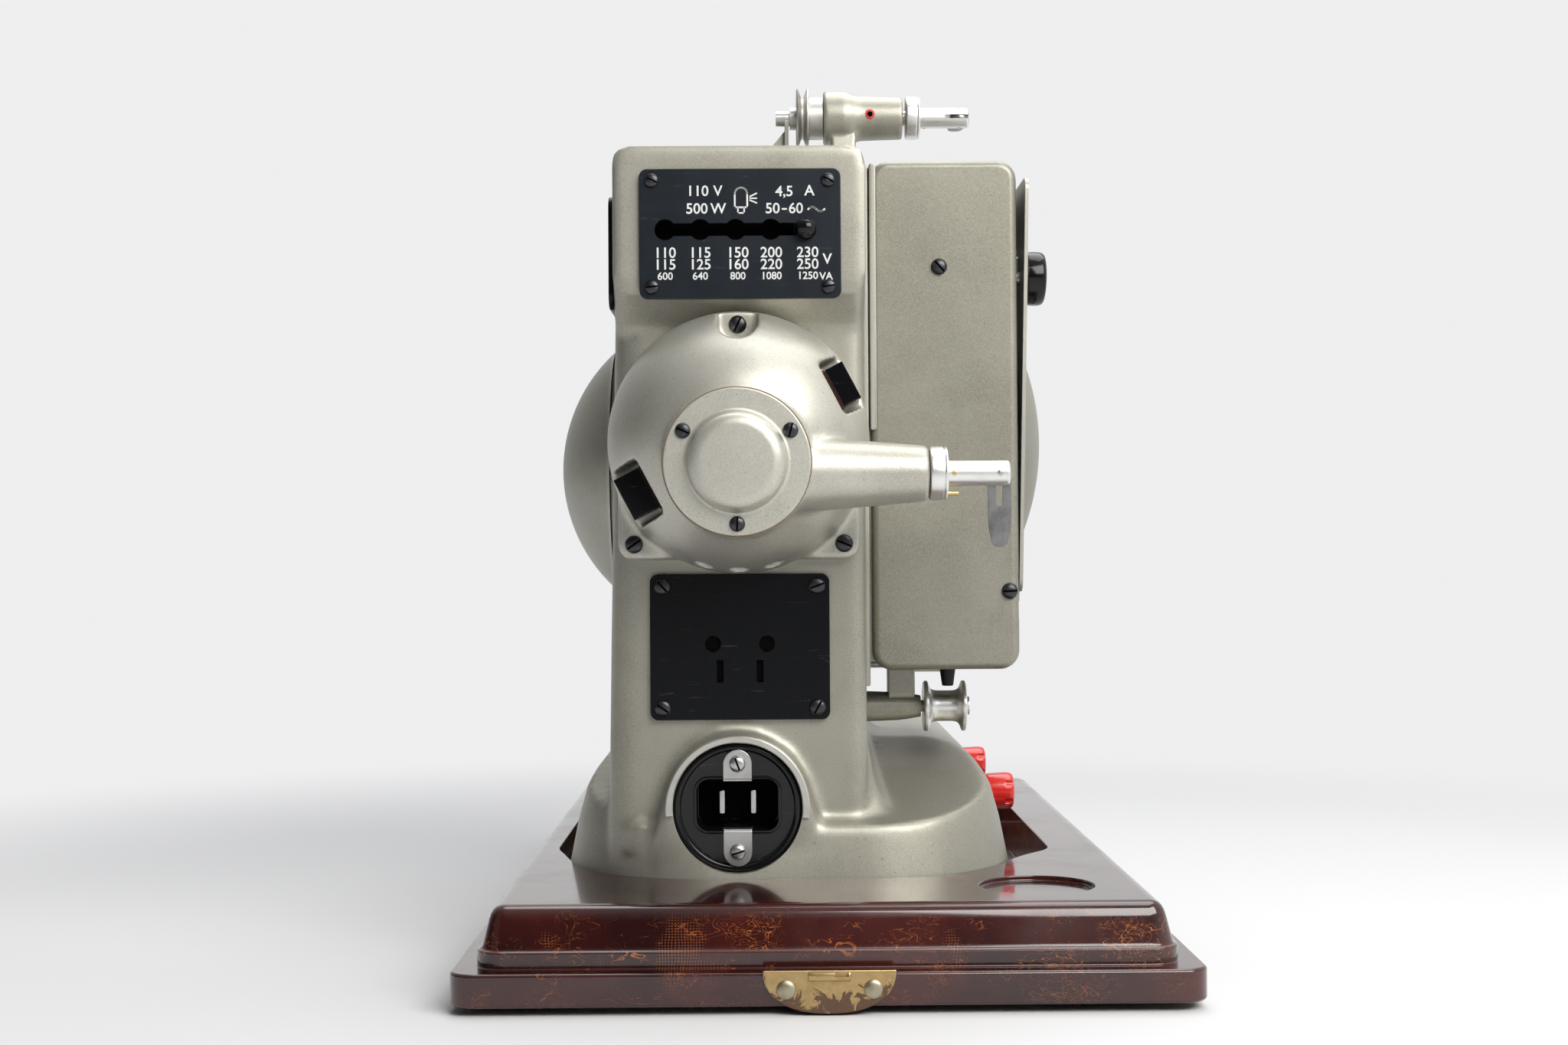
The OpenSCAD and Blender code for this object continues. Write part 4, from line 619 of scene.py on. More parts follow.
def make_casting():
    foot = raised(slab((FOOT_X - FOOT_HALF_W, FOOT_Y0, WELL_Z), (FOOT_X + FOOT_HALF_W, FOOT_Y1, 28.5),
                       "z", FOOT_R, 0, 20),
                  [(16.0, 3.2), (11.5, 3.2), (4.2, 2.1), (3.2, 2.8), (2.4, 3.9), (1.6, 6.0), (0.6, 6.0)])
    head = slab((TOWER[0], BOX_Y0, BOX_Z0 + 2), (TOWER[1], TOWER[3], TOP_Z), "y", 5.0, 0)
    round_edges(head, edges_along(head, (0, 0, 1)), 4.0, 5)
    round_edges(head, rim_edges(head, (0, 1, 0)), 2.4, 4)
    chamfer = hull_of(slab((TOWER[0], TOWER[2], BOX_Z0 - 8), (TOWER[1], TOWER[3], BOX_Z0), "z", 4.5, 0),
                      slab((TOWER[0], BOX_Y0 + 0.6, BOX_Z0 + 2.5), (TOWER[1], TOWER[3], BOX_Z0 + 6),
                           "z", 4.5, 0))
    x, y, z = INLET
    hood = hull_of(rod("y", (x, 0, z), y - 0.5, y + 6, INLET_R + 2.2, INLET_R + 3.0),
                   rod("y", (x, 0, z - 14), y + 1.0, TOWER[2] + 6, INLET_R + 6.5, INLET_R + 9))
    rim = rod("y", (x, 0, z), y - 0.6, y + 9, INLET_R + 2.3, INLET_R + 2.6)
    seat = rod("x", (0, COVER_Y, COVER_Z), COVER_SEAT_X, TOWER[0] + 3, COVER_SEAT_R)
    slope = bmesh.ops.bisect_plane(foot, geom=[*foot.verts, *foot.edges, *foot.faces],
                                   plane_co=at(0, -119, 46), plane_no=(0, -0.242, 0.970), clear_outer=True)
    bmesh.ops.contextual_create(foot,
                                geom=[e for e in slope["geom_cut"] if isinstance(e, bmesh.types.BMEdge)])
    bosses = [rod("x", (0, by, RED_Z), RED_X0 - 14, RED_X0, 9.8, 8.4) for by in RED_YS]
    openings = [
        rod("y", (x, 0, z), y - 8, y + 26, INLET_R + 0.15, steps=96),
        block((SLOT_X - 28.2, BOX_Y0 - 3, SLOT_Z - 5), (SLOT_X + 28.2, BOX_Y0 + 9, SLOT_Z + 5)),
        block((MOTOR_X - 21, TOWER[2] - 3, SOCK_Z - 16), (MOTOR_X + 21, TOWER[2] + 9, SOCK_Z + 16))]
    body = cast("pedestal_and_tower",
                [foot, tower_shell(), tower_root(), head, chamfer, hood, rim, seat, *bosses],
                openings, BODY, 1.5, 5)
    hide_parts("main_casting")


def make_dome():
    profile = [(0, 2.4), (DOME_R, 2.4),
               *((DOME_R * cos(radians(t)), -DOME_R * sin(radians(t))) for t in range(0, 90, 5)),
               (0, -DOME_R)]
    ball = turned("y", (MOTOR_X, DOME_Y, AXIS_Z), profile, 96)
    gearbox = rod("y", (MOTOR_X, 0, GEAR_Z), GEAR_Y0 + 3.6, DOME_Y - 12, GEAR_R + 0.3, GEAR_R + 1.2,
                  steps=72)
    arm = rod("x", (0, SPINDLE_Y, SPINDLE_Z), MOTOR_X, ARM_TIP, 13.6, 8.7)
    flank = rod("x", (0, SPINDLE_Y + 6, SPINDLE_Z), MOTOR_X, 10, 13.0, 7.5)
    lugs = [hull_of(*(rod("y", (MOTOR_X + s * dx, 0, z), -116, -109.6, 5.2)
                      for dx, z in ((34, 138), (18, 138), (34, 157))))
            for s in (-1, 1)]
    around = (MOTOR_X, 0, AXIS_Z)
    notches = []
    for angle, inner, _, half in BRUSHES:
        block = slab((MOTOR_X + inner, AHEAD, AXIS_Z - half), (MOTOR_X + 62, DOME_Y - 8, AXIS_Z + half),
                     "y", 1.2, 0)
        notches.append(moved(block, turn_at(around, -angle, "y")))
    pocket = hull_of(*(rod("y", (MOTOR_X, 0, z), AHEAD, DOME_Y - 6, 6.7) for z in (209, 231)))
    vents = [moved(rod("x", (MOTOR_X, DOME_Y - 9, AXIS_Z), 30, 52, 3.4, steps=24), turn_at(around, -a, "y"))
             for a in (-106, -90, -74)]
    cover_seat = rod("y", (MOTOR_X, 0, GEAR_Z), -170, GEAR_Y0 + 4.5, GEAR_R + 0.35, steps=96)
    brush_boss = rod("y", (-53.0, 0, 160.5), -141, -118, 3.6, 4.4, steps=40)
    dome = cast("motor_dome_casting", [ball, gearbox, arm, flank, brush_boss, *lugs],
                [*notches, pocket, *vents], DOME, 0.85, 7, voxel2=0.7)
    cut(dome, cover_seat)
    dome.data.set_sharp_from_angle(angle=radians(50))
    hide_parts("motor_dome")


def make_feed_arm():
    head = turned("x", (5.8, FEED_Y, FEED_Z),
                  [(0, 0), (10.2, 0), (10.6, 0.8), (10.6, 8.0), (10.2, 10.2), (9.2, 12.6), (8.8, 15),
                   (8.3, 31.2), (0, 31.2)])
    web = hull_of(rod("x", (0, FEED_Y, FEED_Z), 8.6, 18.4, 6),
                  rod("x", (0, PIVOT_Y, PIVOT_Z), 8.6, 18.4, 9))
    hub = rod("x", (0, PIVOT_Y, PIVOT_Z), 8, 19, 10)
    tie = rod("x", (0, FEED_Y + 2, FEED_Z - 22), -9.5, 9, 3)
    holes = [rod("x", (0, PIVOT_Y, PIVOT_Z), 7, 20, 4.1),
             rod("y", (OIL_X, 0, FEED_Z), FEED_Y - 14, FEED_Y - 4, 1.5)]
    arm = cast("feed_arm_casting", [head, web, hub, tie], holes, BODY, 0.6, 4, "arm")
    strap = hull_of(slab((-9.5, FEED_Y - 4, FEED_Z - 8), (-8.0, FEED_Y + 5, FEED_Z + 1), "x", 3, 0),
                    slab((-9.5, FEED_Y - 2, FEED_Z - 28), (-8.0, FEED_Y + 6, FEED_Z - 24), "x", 1, 0))
    wedge = hull_of(block((-9.2, FEED_Y, FEED_Z - 6), (-8.2, FEED_Y + 6, FEED_Z - 4.4)),
                    slab((-14, FEED_Y, FEED_Z - 26), (-8.2, FEED_Y + 6, FEED_Z - 10), "y", 0.4, 0))
    brace = piece("feed_arm_brace", joined(strap, wedge), BODY, "arm")
    soften(brace, 0.3, 2)
    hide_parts("feed_arm")
    mark = turned("y", (OIL_X, FEED_Y, FEED_Z),
                  [(1.1, -8.95), (1.8, -8.9), (1.95, -8.6), (1.95, -7.6), (1.1, -7.6), (1.1, -8.95)], 48)
    piece("oil_hole_mark", mark, RIM_RED, "arm")
    # Painted shade: a black disc at the bottom of the oil hole stands in for the shade inside it.
    floor = rod("y", (OIL_X, 0, FEED_Z), FEED_Y - 8.3, FEED_Y - 6.6, 1.3)
    piece("oil_hole_painted_shade", floor, PAINTED_SHADE, "arm")


make_casting()
make_dome()
make_feed_arm()


# Plates, screws and figures at the rear
def screw_set(node, places, radius, head, paint, shank=4.0):
    """Round-headed slotted screws that face the rear: places of (x, seat's y, z, slot angle)."""
    heads, slots = [], []
    for x, y, z, angle in places:
        heads.append(turned("y", (x, y, z), [
            (0, shank), (radius * 0.5, shank), (radius * 0.5, 0), (radius * 0.97, 0),
            (radius, -0.12 * head), (radius * 0.93, -head * 0.52), (radius * 0.76, -head * 0.80),
            (radius * 0.5, -head * 0.95), (radius * 0.25, -head * 0.99), (0, -head)], 40))
        slot = block((x - radius * 1.3, y - head - 0.5, z - radius * 0.12),
                     (x + radius * 1.3, y - head * 0.38, z + radius * 0.12))
        slots.append(moved(slot, turn_at((x, y, z), -angle, "y")))
    made = piece(node + "_round_heads", joined(*heads), paint)
    cut(made, joined(*slots))
    # Painted shade: black strips at the slot floors stand in for the shade in the screw slots.
    shadows = [moved(block((x - radius * 0.86, y - head * 0.5, z - radius * 0.115),
                           (x + radius * 0.86, y - head * 0.3, z + radius * 0.115)),
                     turn_at((x, y, z), -angle, "y"))
               for x, y, z, angle in places]
    piece(node + "_slot_floors", joined(*shadows), PAINTED_SHADE)
    soften(made, 0.06, 1, 50)
    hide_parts(node)
    return made


def make_screws():
    lug_y = TOWER[2] - 6.0
    seats = (DOME_Y - 6, lug_y, lug_y)
    dome = [(x, y, z, angle) for (x, z), y, angle in zip(DOME_SCREWS, seats, (65, 35, -22))]
    screw_set("dome_screws", dome, 2.9, 1.7, BLUED, 9)
    gear = [(MOTOR_X + 19 * cos(radians(a)), GEAR_Y0, GEAR_Z + 19 * sin(radians(a)), slot)
            for a, slot in zip(GEAR_SCREW_ANGLES, (75, -25, 88))]
    screw_set("gearbox_screws", gear, 2.42, 1.5, BLUED, 8)
    plate = [(VOLT[0] + sx * 28.4, BOX_Y0 - 2.0, VOLT[1] + sz * 17.2, angle)
             for sx, sz, angle in ((-1, 1, -25), (1, 1, -28), (-1, -1, 5), (1, -1, 10))]
    screw_set("voltage_screws", plate, 2.35, 1.35, BLUED, 5)
    socket = [(MOTOR_X + sx * 25.2, TOWER[2] - 2.0, SOCK_Z + sz * 19.8, angle)
              for sx, sz, angle in ((-1, 1, -48), (1, 1, 20), (-1, -1, -35), (1, -1, 60))]
    screw_set("socket_screws", socket, 2.75, 1.3, BLUED, 5)
    inlet = [(INLET[0], INLET[1] - 1.0, INLET[2] + s * 14.2, angle) for s, angle in ((1, -70), (-1, 17))]
    screw_set("inlet_screws", inlet, 2.6, 1.2, STEEL, 7)


def words(entries, size, y, bold=0.05):
    """Flat figures facing the rear: entries of (text, centre x, middle z), sizes in millimetres."""
    bm = new_mesh()
    for text, x, z in entries:
        curve = bpy.data.curves.new("figures", "FONT")
        curve.body, curve.size, curve.offset, curve.extrude = text, size, bold, 0.06
        curve.align_x, curve.align_y = "CENTER", "CENTER"
        curve.resolution_u = 5
        source = bpy.data.objects.new("figures", curve)
        scene.collection.objects.link(source)
        bpy.context.view_layer.update()
        mesh = bpy.data.meshes.new_from_object(source.evaluated_get(bpy.context.evaluated_depsgraph_get()))
        mesh.transform(Matrix.Translation(at(x, y, z)) @ Matrix.Rotation(pi / 2, 4, "X")
                       @ Matrix.Scale(MM, 4))
        bm.from_mesh(mesh)
        bpy.data.objects.remove(source, do_unlink=True)
        bpy.data.curves.remove(curve)
        bpy.data.meshes.remove(mesh)
    return bm


def stroke(points, width, y, closed=False):
    """A drawn line of round strokes on a plate: points of (x, z), in millimetres."""
    parts = []
    ends = list(zip(points, points[1:] + points[:1] if closed else points[1:]))
    for (x0, z0), (x1, z1) in ends:
        length = Vector((x1 - x0, z1 - z0)).length
        bar = slab((-width / 2, y - 0.03, -width / 2), (length + width / 2, y + 0.09, width / 2), "y",
                   width / 2.05, 0, 5)
        turn = Matrix.Rotation(-atan2(z1 - z0, x1 - x0), 4, "Y")
        parts.append(moved(bar, Matrix.Translation(at(x0, 0, z0)) @ turn))
    return parts


def make_voltage_plate():
    cx, cz, w, h = VOLT
    y0, y1 = BOX_Y0 - 2.0, BOX_Y0
    plate = piece("voltage_plate_face",
                  slab((cx - w / 2, y0, cz - h / 2), (cx + w / 2, y1, cz + h / 2), "y", 2.6, 0.35, 8),
                  SLATE)
    run = VOLT_STEP * 2
    gate = [block((SLOT_X - run, y0 - 2, SLOT_Z - 2.08), (SLOT_X + run, y1 + 2, SLOT_Z + 2.08))]
    gate += [rod("y", (SLOT_X + i * VOLT_STEP, 0, SLOT_Z), y0 - 2, y1 + 2, 3.42, steps=48)
             for i in range(-2, 3)]
    for shape in gate:
        cut(plate, shape)
    soften(plate, 0.18, 2, 60)
    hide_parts("voltage_plate")
    # Painted shade: a black sheet in the selector well stands in for the shade behind the slot.
    well = block((SLOT_X - 28.5, BOX_Y0 + 6.0, SLOT_Z - 5), (SLOT_X + 28.5, BOX_Y0 + 7.0, SLOT_Z + 5))
    piece("selector_well_painted_shade", well, PAINTED_SHADE)
    face = y0 - 0.02
    columns = ((-24.2, "110", "115", "600"), (-12.9, "115", "125", "640"), (-0.8, "150", "160", "800"),
               (10.0, "200", "220", "1080"), (21.7, "230", "250", "1250"))
    large = [(text, cx + dx, cz + dz) for dx, first, second, _ in columns
             for text, dz in ((first, -6.3), (second, -10.1))]
    large += [("V", cx + 28.0, cz - 8.5), ("110", cx - 13.6, cz + 13.6), ("V", cx - 7.1, cz + 13.6),
              ("4,5", cx + 14.3, cz + 13.4), ("A", cx + 22.4, cz + 13.6), ("500", cx - 13.9, cz + 7.9),
              ("W", cx - 7.0, cz + 7.9), ("50", cx + 10.5, cz + 7.9), ("60", cx + 18.0, cz + 7.9)]
    small = [(third, cx + dx, cz - 13.8) for dx, _, _, third in columns] + [("VA", cx + 27.6, cz - 14.0)]
    figures = [words(large, 4.75, face, 0.06), words(small, 3.35, face, 0.06)]
    figures += stroke([(cx + 13.7, cz + 7.8), (cx + 14.9, cz + 7.8)], 0.55, face)
    tilde = [(cx + 22.0 + 0.58 * i, cz + 7.7 + 0.8 * sin(i / 9 * 2 * pi)) for i in range(10)]
    figures += stroke(tilde, 0.6, face)
    icon_x, icon_z = cx + 0.35, cz + 10.0
    arch = [(icon_x - 2.0 * cos(radians(t)), icon_z + 2.8 + 2.0 * sin(radians(t)))
            for t in range(0, 181, 20)]
    figures += stroke([(icon_x - 2.0, icon_z - 1.6), *arch, (icon_x + 2.0, icon_z - 1.6)],
                      0.55, face, closed=True)
    figures += stroke([(icon_x - 1.0, icon_z - 1.7), (icon_x - 1.0, icon_z - 3.4),
                       (icon_x + 1.0, icon_z - 3.4), (icon_x + 1.0, icon_z - 1.7)], 0.5, face)
    for rise0, rise1 in ((1.9, 2.9), (1.3, 1.3), (0.7, -0.2)):
        figures += stroke([(icon_x + 2.9, icon_z + rise0), (icon_x + 5.0, icon_z + rise1)], 0.45, face)
    piece("plate_figures", joined(*figures), INK)


def make_selector():
    x = SLOT_X + 2 * VOLT_STEP
    y = BOX_Y0 - 7.0
    ball = turned("y", (x, y, SLOT_Z),
                  [(3.35 * sin(radians(t)), 3.35 - 3.35 * cos(radians(t))) for t in range(0, 131, 10)]
                  + [(1.8, 5.9), (1.8, 12), (0, 12)], 48)
    slider = slab((x - 4, BOX_Y0 + 0.3, SLOT_Z - 4), (x + 4, BOX_Y0 + 2.6, SLOT_Z + 4), "y", 0.6, 0.2, 2)
    knob = piece("selector_button", joined(ball, slider), GLOSS, "selector")
    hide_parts("voltage_selector")


def make_socket_plate():
    y0 = TOWER[2] - 2.0
    plate = piece("socket_plate_face",
                  slab((MOTOR_X - SOCK_W / 2, y0, SOCK_Z - SOCK_H / 2),
                       (MOTOR_X + SOCK_W / 2, TOWER[2], SOCK_Z + SOCK_H / 2), "y", 2.6, 0.3, 8),
                  PLATE)
    holes = []
    for s in (-1, 1):
        holes.append(rod("y", (MOTOR_X + s * 8.8, 0, SOCK_Z + 1), y0 - 1, y0 + 4, 2.7, steps=48))
        holes.append(block((MOTOR_X + s * 6.5 - 1.1, y0 - 1, SOCK_Z - 11.5),
                           (MOTOR_X + s * 6.5 + 1.1, y0 + 4, SOCK_Z - 4.3)))
    for hole in holes:
        cut(plate, hole)
    soften(plate, 0.2, 2, 60)
    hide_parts("socket_plate")
    sleeves = []
    for s in (-1, 1):
        sleeves.append(turned("y", (MOTOR_X + s * 8.8, TOWER[2], SOCK_Z + 1),
                              [(2.4, 0.4), (3.6, 0.4), (3.6, 8), (0, 8), (0, 6.5), (2.4, 6.5),
                               (2.4, 0.4)], 40))
    made = piece("socket_contacts", joined(*sleeves), TARNISHED)
    blocks = [slab((x, TOWER[2] + 0.4, SOCK_Z - 12.5), (x + 4.6, TOWER[2] + 8, SOCK_Z - 3.3), "y", 0.4, 0)
              for x in (MOTOR_X - 9, MOTOR_X + 4.4)]
    clips = piece("socket_clips", joined(*blocks), TARNISHED)
    for s in (-1, 1):
        cut(clips, block((MOTOR_X + s * 6.5 - 1, TOWER[2] - 1, SOCK_Z - 11.3),
                         (MOTOR_X + s * 6.5 + 1, TOWER[2] + 7, SOCK_Z - 4.5)))
    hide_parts("socket_sleeves")
    # Painted shade: black discs and bars inside the socket holes stand in for the shade in them.
    voids = [rod("y", (MOTOR_X + s * 8.8, 0, SOCK_Z + 1), y0 + 1.3, y0 + 1.9, 2.4, steps=32)
             for s in (-1, 1)]
    voids += [block((MOTOR_X + s * 6.5 - 0.95, y0 + 1.3, SOCK_Z - 11.35),
                    (MOTOR_X + s * 6.5 + 0.95, y0 + 1.9, SOCK_Z - 4.45))
              for s in (-1, 1)]
    piece("socket_hole_painted_shade", joined(*voids), PAINTED_SHADE)
    # Painted shade: a black sheet at the back of the socket bay stands in for the shade in the recess.
    piece("socket_bay_painted_shade",
          block((MOTOR_X - 20.8, TOWER[2] + 8.2, SOCK_Z - 15.8),
                (MOTOR_X + 20.8, TOWER[2] + 8.8, SOCK_Z + 15.8)),
          PAINTED_SHADE)


def make_inlet():
    x, y, z = INLET
    profile = [(0, 12), (INLET_R, 12), (INLET_R, 0.9), (INLET_R - 0.35, 0.25), (INLET_R - 0.9, 0),
               (19.2, 0), (18.7, 0.25), (18.3, 0.9), (17.6, 1.0), (0, 1.0)]
    body = piece("inlet_moulding", turned("y", (x, y, z), profile, 96), GLOSS)
    lip = slab((x - 14.2, y + 0.2, z - 8.4), (x + 14.2, y + 3, z + 10.2), "y", 4.8, 0.55, 8)
    stem = rod("y", (x, 0, z), y + 11.5, y + 22, INLET_R - 4.5, steps=64)
    joined_on(body, lip)
    joined_on(body, stem)
    cut(body, slab((x - 13.3, y - 2, z - 7.5), (x + 13.3, y + 17, z + 9.3), "y", 4.0, 0, 8))
    soften(body, 0.22, 2, 40)
    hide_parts("inlet_body")
    rib = slab((x - 5, y + 3.5, z - 7.6), (x + 5, y + 16.5, z - 6.6), "y", 0.5, 0)
    piece("inlet_key", rib, GLOSS)
    pins = []
    for s in (-1, 1):
        pins.append(slab((x + s * 5.1 - 0.85, y + 5.2, z - 2.5), (x + s * 5.1 + 0.85, y + 17, z + 5.1),
                         "y", 0.5, 0.3, 3))
        pins.append(rod("y", (x + s * 5.1, 0, z + 1.3), y + 16.9, y + 25, 1.08, steps=24))
    made = piece("inlet_blades", joined(*pins), STEEL)
    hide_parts("inlet_pins")
    # Painted shade: black floors in the pin wells and the recess stand in for the shade in their depth.
    wells = [block((x + s * 5.1 - 1.3, y + 15.9, z + 5.0), (x + s * 5.1 + 1.3, y + 16.9, z + 7.0))
             for s in (-1, 1)]
    wells.append(slab((x - 13.1, y + 16.2, z - 7.3), (x + 13.1, y + 16.9, z + 9.1), "y", 3.8, 0))
    piece("inlet_well_painted_shade", joined(*wells), PAINTED_SHADE)
    tabs = []
    for s in (-1, 1):
        cz = z + s * 14.2
        low, high = sorted((z + s * 9.4 if s > 0 else z - 7.6, cz))
        tab = joined(rod("y", (x, 0, cz), y - 0.35, y + 0.55, 4.6, steps=48),
                     block((x - 4.6, y - 0.35, low), (x + 4.6, y + 0.55, high)))
        flange_z = z + 9.3 if s > 0 else z - 7.5
        lo, hi = sorted((flange_z, flange_z - s * 0.7))
        tab = joined(tab, block((x - 4.6, y - 0.2, lo), (x + 4.6, y + 5.0, hi)))
        tabs.append(tab)
    made = piece("inlet_straps", joined(*tabs), STEEL)
    melt(made, 0.14, 2)
    applied(made)
    shade(made.data, 60)
    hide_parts("inlet_tabs")
    rim = turned_part((x, y, z),
                      [(INLET_R + 0.2, 1.5), (INLET_R + 0.2, -1.35), (INLET_R + 0.5, -1.6),
                       (INLET_R + 2.1, -1.6), (INLET_R + 2.45, -1.3), (INLET_R + 2.6, 1.5)], -8, 194, 60)
    piece("inlet_hood_rim", rim, MACHINED)


def turned_part(centre, profile, start, sweep, steps):
    """A closed profile turned through part of a circle about Y, its ends closed."""
    bm = new_mesh()
    along = Vector(AXES["y"])
    out = Matrix.Rotation(radians(-start), 3, "Y") @ Vector((1, 0, 0))
    centre = Vector(centre)
    loop = [bm.verts.new((centre + along * length + out * radius) * MM) for radius, length in profile]
    face = bm.faces.new(loop)
    bmesh.ops.spin(bm, geom=[face, *face.edges, *loop], cent=centre * MM, axis=along, dvec=(0, 0, 0),
                   angle=radians(-sweep), steps=steps, use_merge=False, use_duplicate=False)
    bmesh.ops.recalc_face_normals(bm, faces=bm.faces)
    return bm


def make_gearbox_cover():
    ring = turned("y", (MOTOR_X, GEAR_Y0, GEAR_Z), [
        (0, 4.4), (GEAR_R, 4.4), (GEAR_R, 0.55), (GEAR_R - 0.18, 0.16), (GEAR_R - 0.55, 0),
        (GEAR_BOSS_R + 1.3, 0), (GEAR_BOSS_R + 0.5, -0.12), (GEAR_BOSS_R + 0.1, -0.5),
        (GEAR_BOSS_R - 0.1, -1.2), (GEAR_BOSS_R - 0.35, -2.2), (GEAR_BOSS_R - 0.9, -3.3),
        (GEAR_BOSS_R - 1.9, -4.25), (GEAR_BOSS_R - 3.2, -4.8), (GEAR_BOSS_R - 4.6, -5.0), (0, -5.0)], 96)
    cover = piece("gearbox_lid", ring, DOME, angle=50)
    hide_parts("gearbox_cover")
    seam = turned("y", (MOTOR_X, GEAR_Y0, GEAR_Z),
                  [(GEAR_R - 0.3, 0.75), (GEAR_R + 0.33, 0.75), (GEAR_R + 0.33, 1.3),
                   (GEAR_R - 0.3, 1.3), (GEAR_R - 0.3, 0.75)], 96)
    piece("gearbox_seam", seam, GRIME)


def make_brushes():
    caps, washers = [], []
    for angle, _, inner, half in BRUSHES:
        turn = turn_at((MOTOR_X, 0, AXIS_Z), -angle, "y")
        cap = slab((MOTOR_X + inner, DOME_Y - 18.0, AXIS_Z - half + 2.6),
                   (MOTOR_X + 41.0, DOME_Y - 8, AXIS_Z + half - 2.6), "x", 0.5, 0.3, 3)
        caps.append(moved(cap, turn))
        washers.append(moved(block((MOTOR_X + inner - 0.9, DOME_Y - 15.5, AXIS_Z - half + 2.2),
                                   (MOTOR_X + inner, DOME_Y - 8, AXIS_Z + half - 2.2)), turn))
    made = piece("brush_holders", joined(*caps), GLOSS)
    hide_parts("brush_caps")
    piece("brush_insulation", joined(*washers), FIBRE)


make_screws()
make_voltage_plate()
make_selector()
make_socket_plate()
make_inlet()
make_gearbox_cover()
make_brushes()


# Catch plates of the base
def half_moon(half_width, depth, power, top, y0, y1):
    """Plate with a straight upper edge over one full, rounded belly."""
    bm = new_mesh()
    line = []
    for step in range(49):
        angle = pi * step / 48
        x = half_width * abs(cos(angle)) ** (2 / power) * (1 if cos(angle) > 0 else -1)
        z = top - depth * sin(angle) ** (2 / power)
        line.append(bm.verts.new(at(x, y0, z)))
    face = bm.faces.new(line)
    made = bmesh.ops.extrude_face_region(bm, geom=[face])["geom"]
    bmesh.ops.translate(bm, vec=(0, (y1 - y0) * MM, 0),
                        verts=[v for v in made if isinstance(v, bmesh.types.BMVert)])
    bmesh.ops.recalc_face_normals(bm, faces=bm.faces)
    return bm


def make_catch_plates():
    rivets = []
    for s, node in ((-1, "rear_catch_plate"), (1, "front_catch_plate")):
        y = s * 180.0
        bottom = 0.6
        low, high = sorted((y, y + s * 1.0))
        top = bottom + 12.6
        outline = half_moon(19.5, 12.6, 2.3, top, low, high)
        plate = piece(node + "_sheet", outline, BRASS_PLATE)
        melt(plate, 0.22, 2)
        applied(plate)
        low, high = sorted((y, y + s * 2.3))
        lip = slab((-6.2, low, 10.2), (6.2, high, 13.0), "x", 0.9, 0.2, 3)
        joined_on(plate, lip)
        low, high = sorted((y + s * 1.2, y + s * 4))
        cut(plate, block((1.5, low, 11.6), (5.5, high, 14.0)))
        shade(plate.data, 45)
        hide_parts(node)
        for x in (-12.75, 12.75):
            profile = [(0, -5), (1.5, -5), (1.5, 0.9), (2.75, 0.9), (2.85, 1.1), (2.7, 1.35), (2.0, 1.7),
                       (1.0, 1.85), (0, 1.9)]
            rivets.append(turned("y", (x, y, 7.7), [(r, s * length) for r, length in profile], 40))
    made = piece("catch_rivet_heads", joined(*rivets), RIVET)
    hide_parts("catch_rivets")


# Lamphouse and its door
def make_lamphouse():
    x0, x1, y0, y1, z0, z1 = LAMP_BOX
    wall = 1.5
    shell = slab((x0, y0, z0), (x1, y1, z1), "y", 6.5, 0, 10)
    round_edges(shell, rim_edges(shell, (0, 1, 0)), 2.6, 6)
    house = piece("lamphouse_shell", shell, SHEET)
    hollow = slab((x0 + wall, y0 + wall, z0 + wall), (x1 - wall, y1 - wall, z1 - wall), "y", 5.0, 0, 8)
    gap = slab((x1 - wall - 2, y0 + 3, 112), (x1 + 3, y1 - 3, z1 - 9), "x", 1.0, 0, 3)
    lower_gap = block((x1 - wall - 2, y0 + 1.6, 112), (x1 + 3, y1 - 1.6, 127.7))
    cut(house, hollow, gap, lower_gap)
    slots = [slab((x0 + 10, y0 + 14 + i * 8.5, z1 - 4), (x1 - 10, y0 + 17.5 + i * 8.5, z1 + 2),
                  "z", 1.6, 0, 4)
             for i in range(7)]
    slots += [slab((x0 + 10, y0 + 48 + i * 7, z0 - 2), (x1 - 14, y0 + 51 + i * 7, z0 + 4), "z", 1.4, 0, 4)
              for i in range(4)]
    slots += [rod("y", (45, 0, AXIS_Z), y1 - 4, y1 + 2, 12, steps=48),
              slab((x0 - 2, y0 + 20, z0 + 12), (x0 + 4, y0 + 32, z0 + 24), "x", 1, 0),
              rod("y", DOOR_HINGE, y0 - 2, y0 + 4, 1.7, steps=24)]
    for shape in slots:
        cut(house, shape)
    soften(house, 0.25, 2, 40)
    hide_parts("lamphouse")
    ribs = []
    for rib_x, width, z_low, lift in ((15.3, 1.7, 90.0, -0.2), (17.5, 2.3, 176.0, -0.5)):
        rib = slab((rib_x, y0 + lift, z_low), (rib_x + width, y0 + 8, z1 - 1.0), "y", 0.8, 0.5, 3)
        ribs.append(rib)
    ribs.append(slab((TOWER[1] - 0.2, y0 + 3, z0 + 3), (x0 + 0.6, y0 + 5.5, z1 - 2), "y", 0, 0.2))
    ribs.append(slab((TOWER[1] - 0.2, y1 - 8, z0 + 3), (x0 + 0.6, y1 - 5.5, z1 - 2), "y", 0, 0.2))
    piece("lamphouse_seam_ribs", joined(*ribs), SHEET)
    heads = screw_set("lamphouse_screws", [(41, y0, 231, -48), (DOOR_HINGE[0], y0, DOOR_HINGE[2], 3)],
                      2.75, 2.0, BLUED, 5)
    pin = rod("y", DOOR_HINGE, y0 + 0.5, y1 - 0.2, 1.6, steps=24)
    joined_on(heads, pin)


def ajar(bm):
    return moved(bm, turn_at(DOOR_HINGE, DOOR_AJAR, "y"))


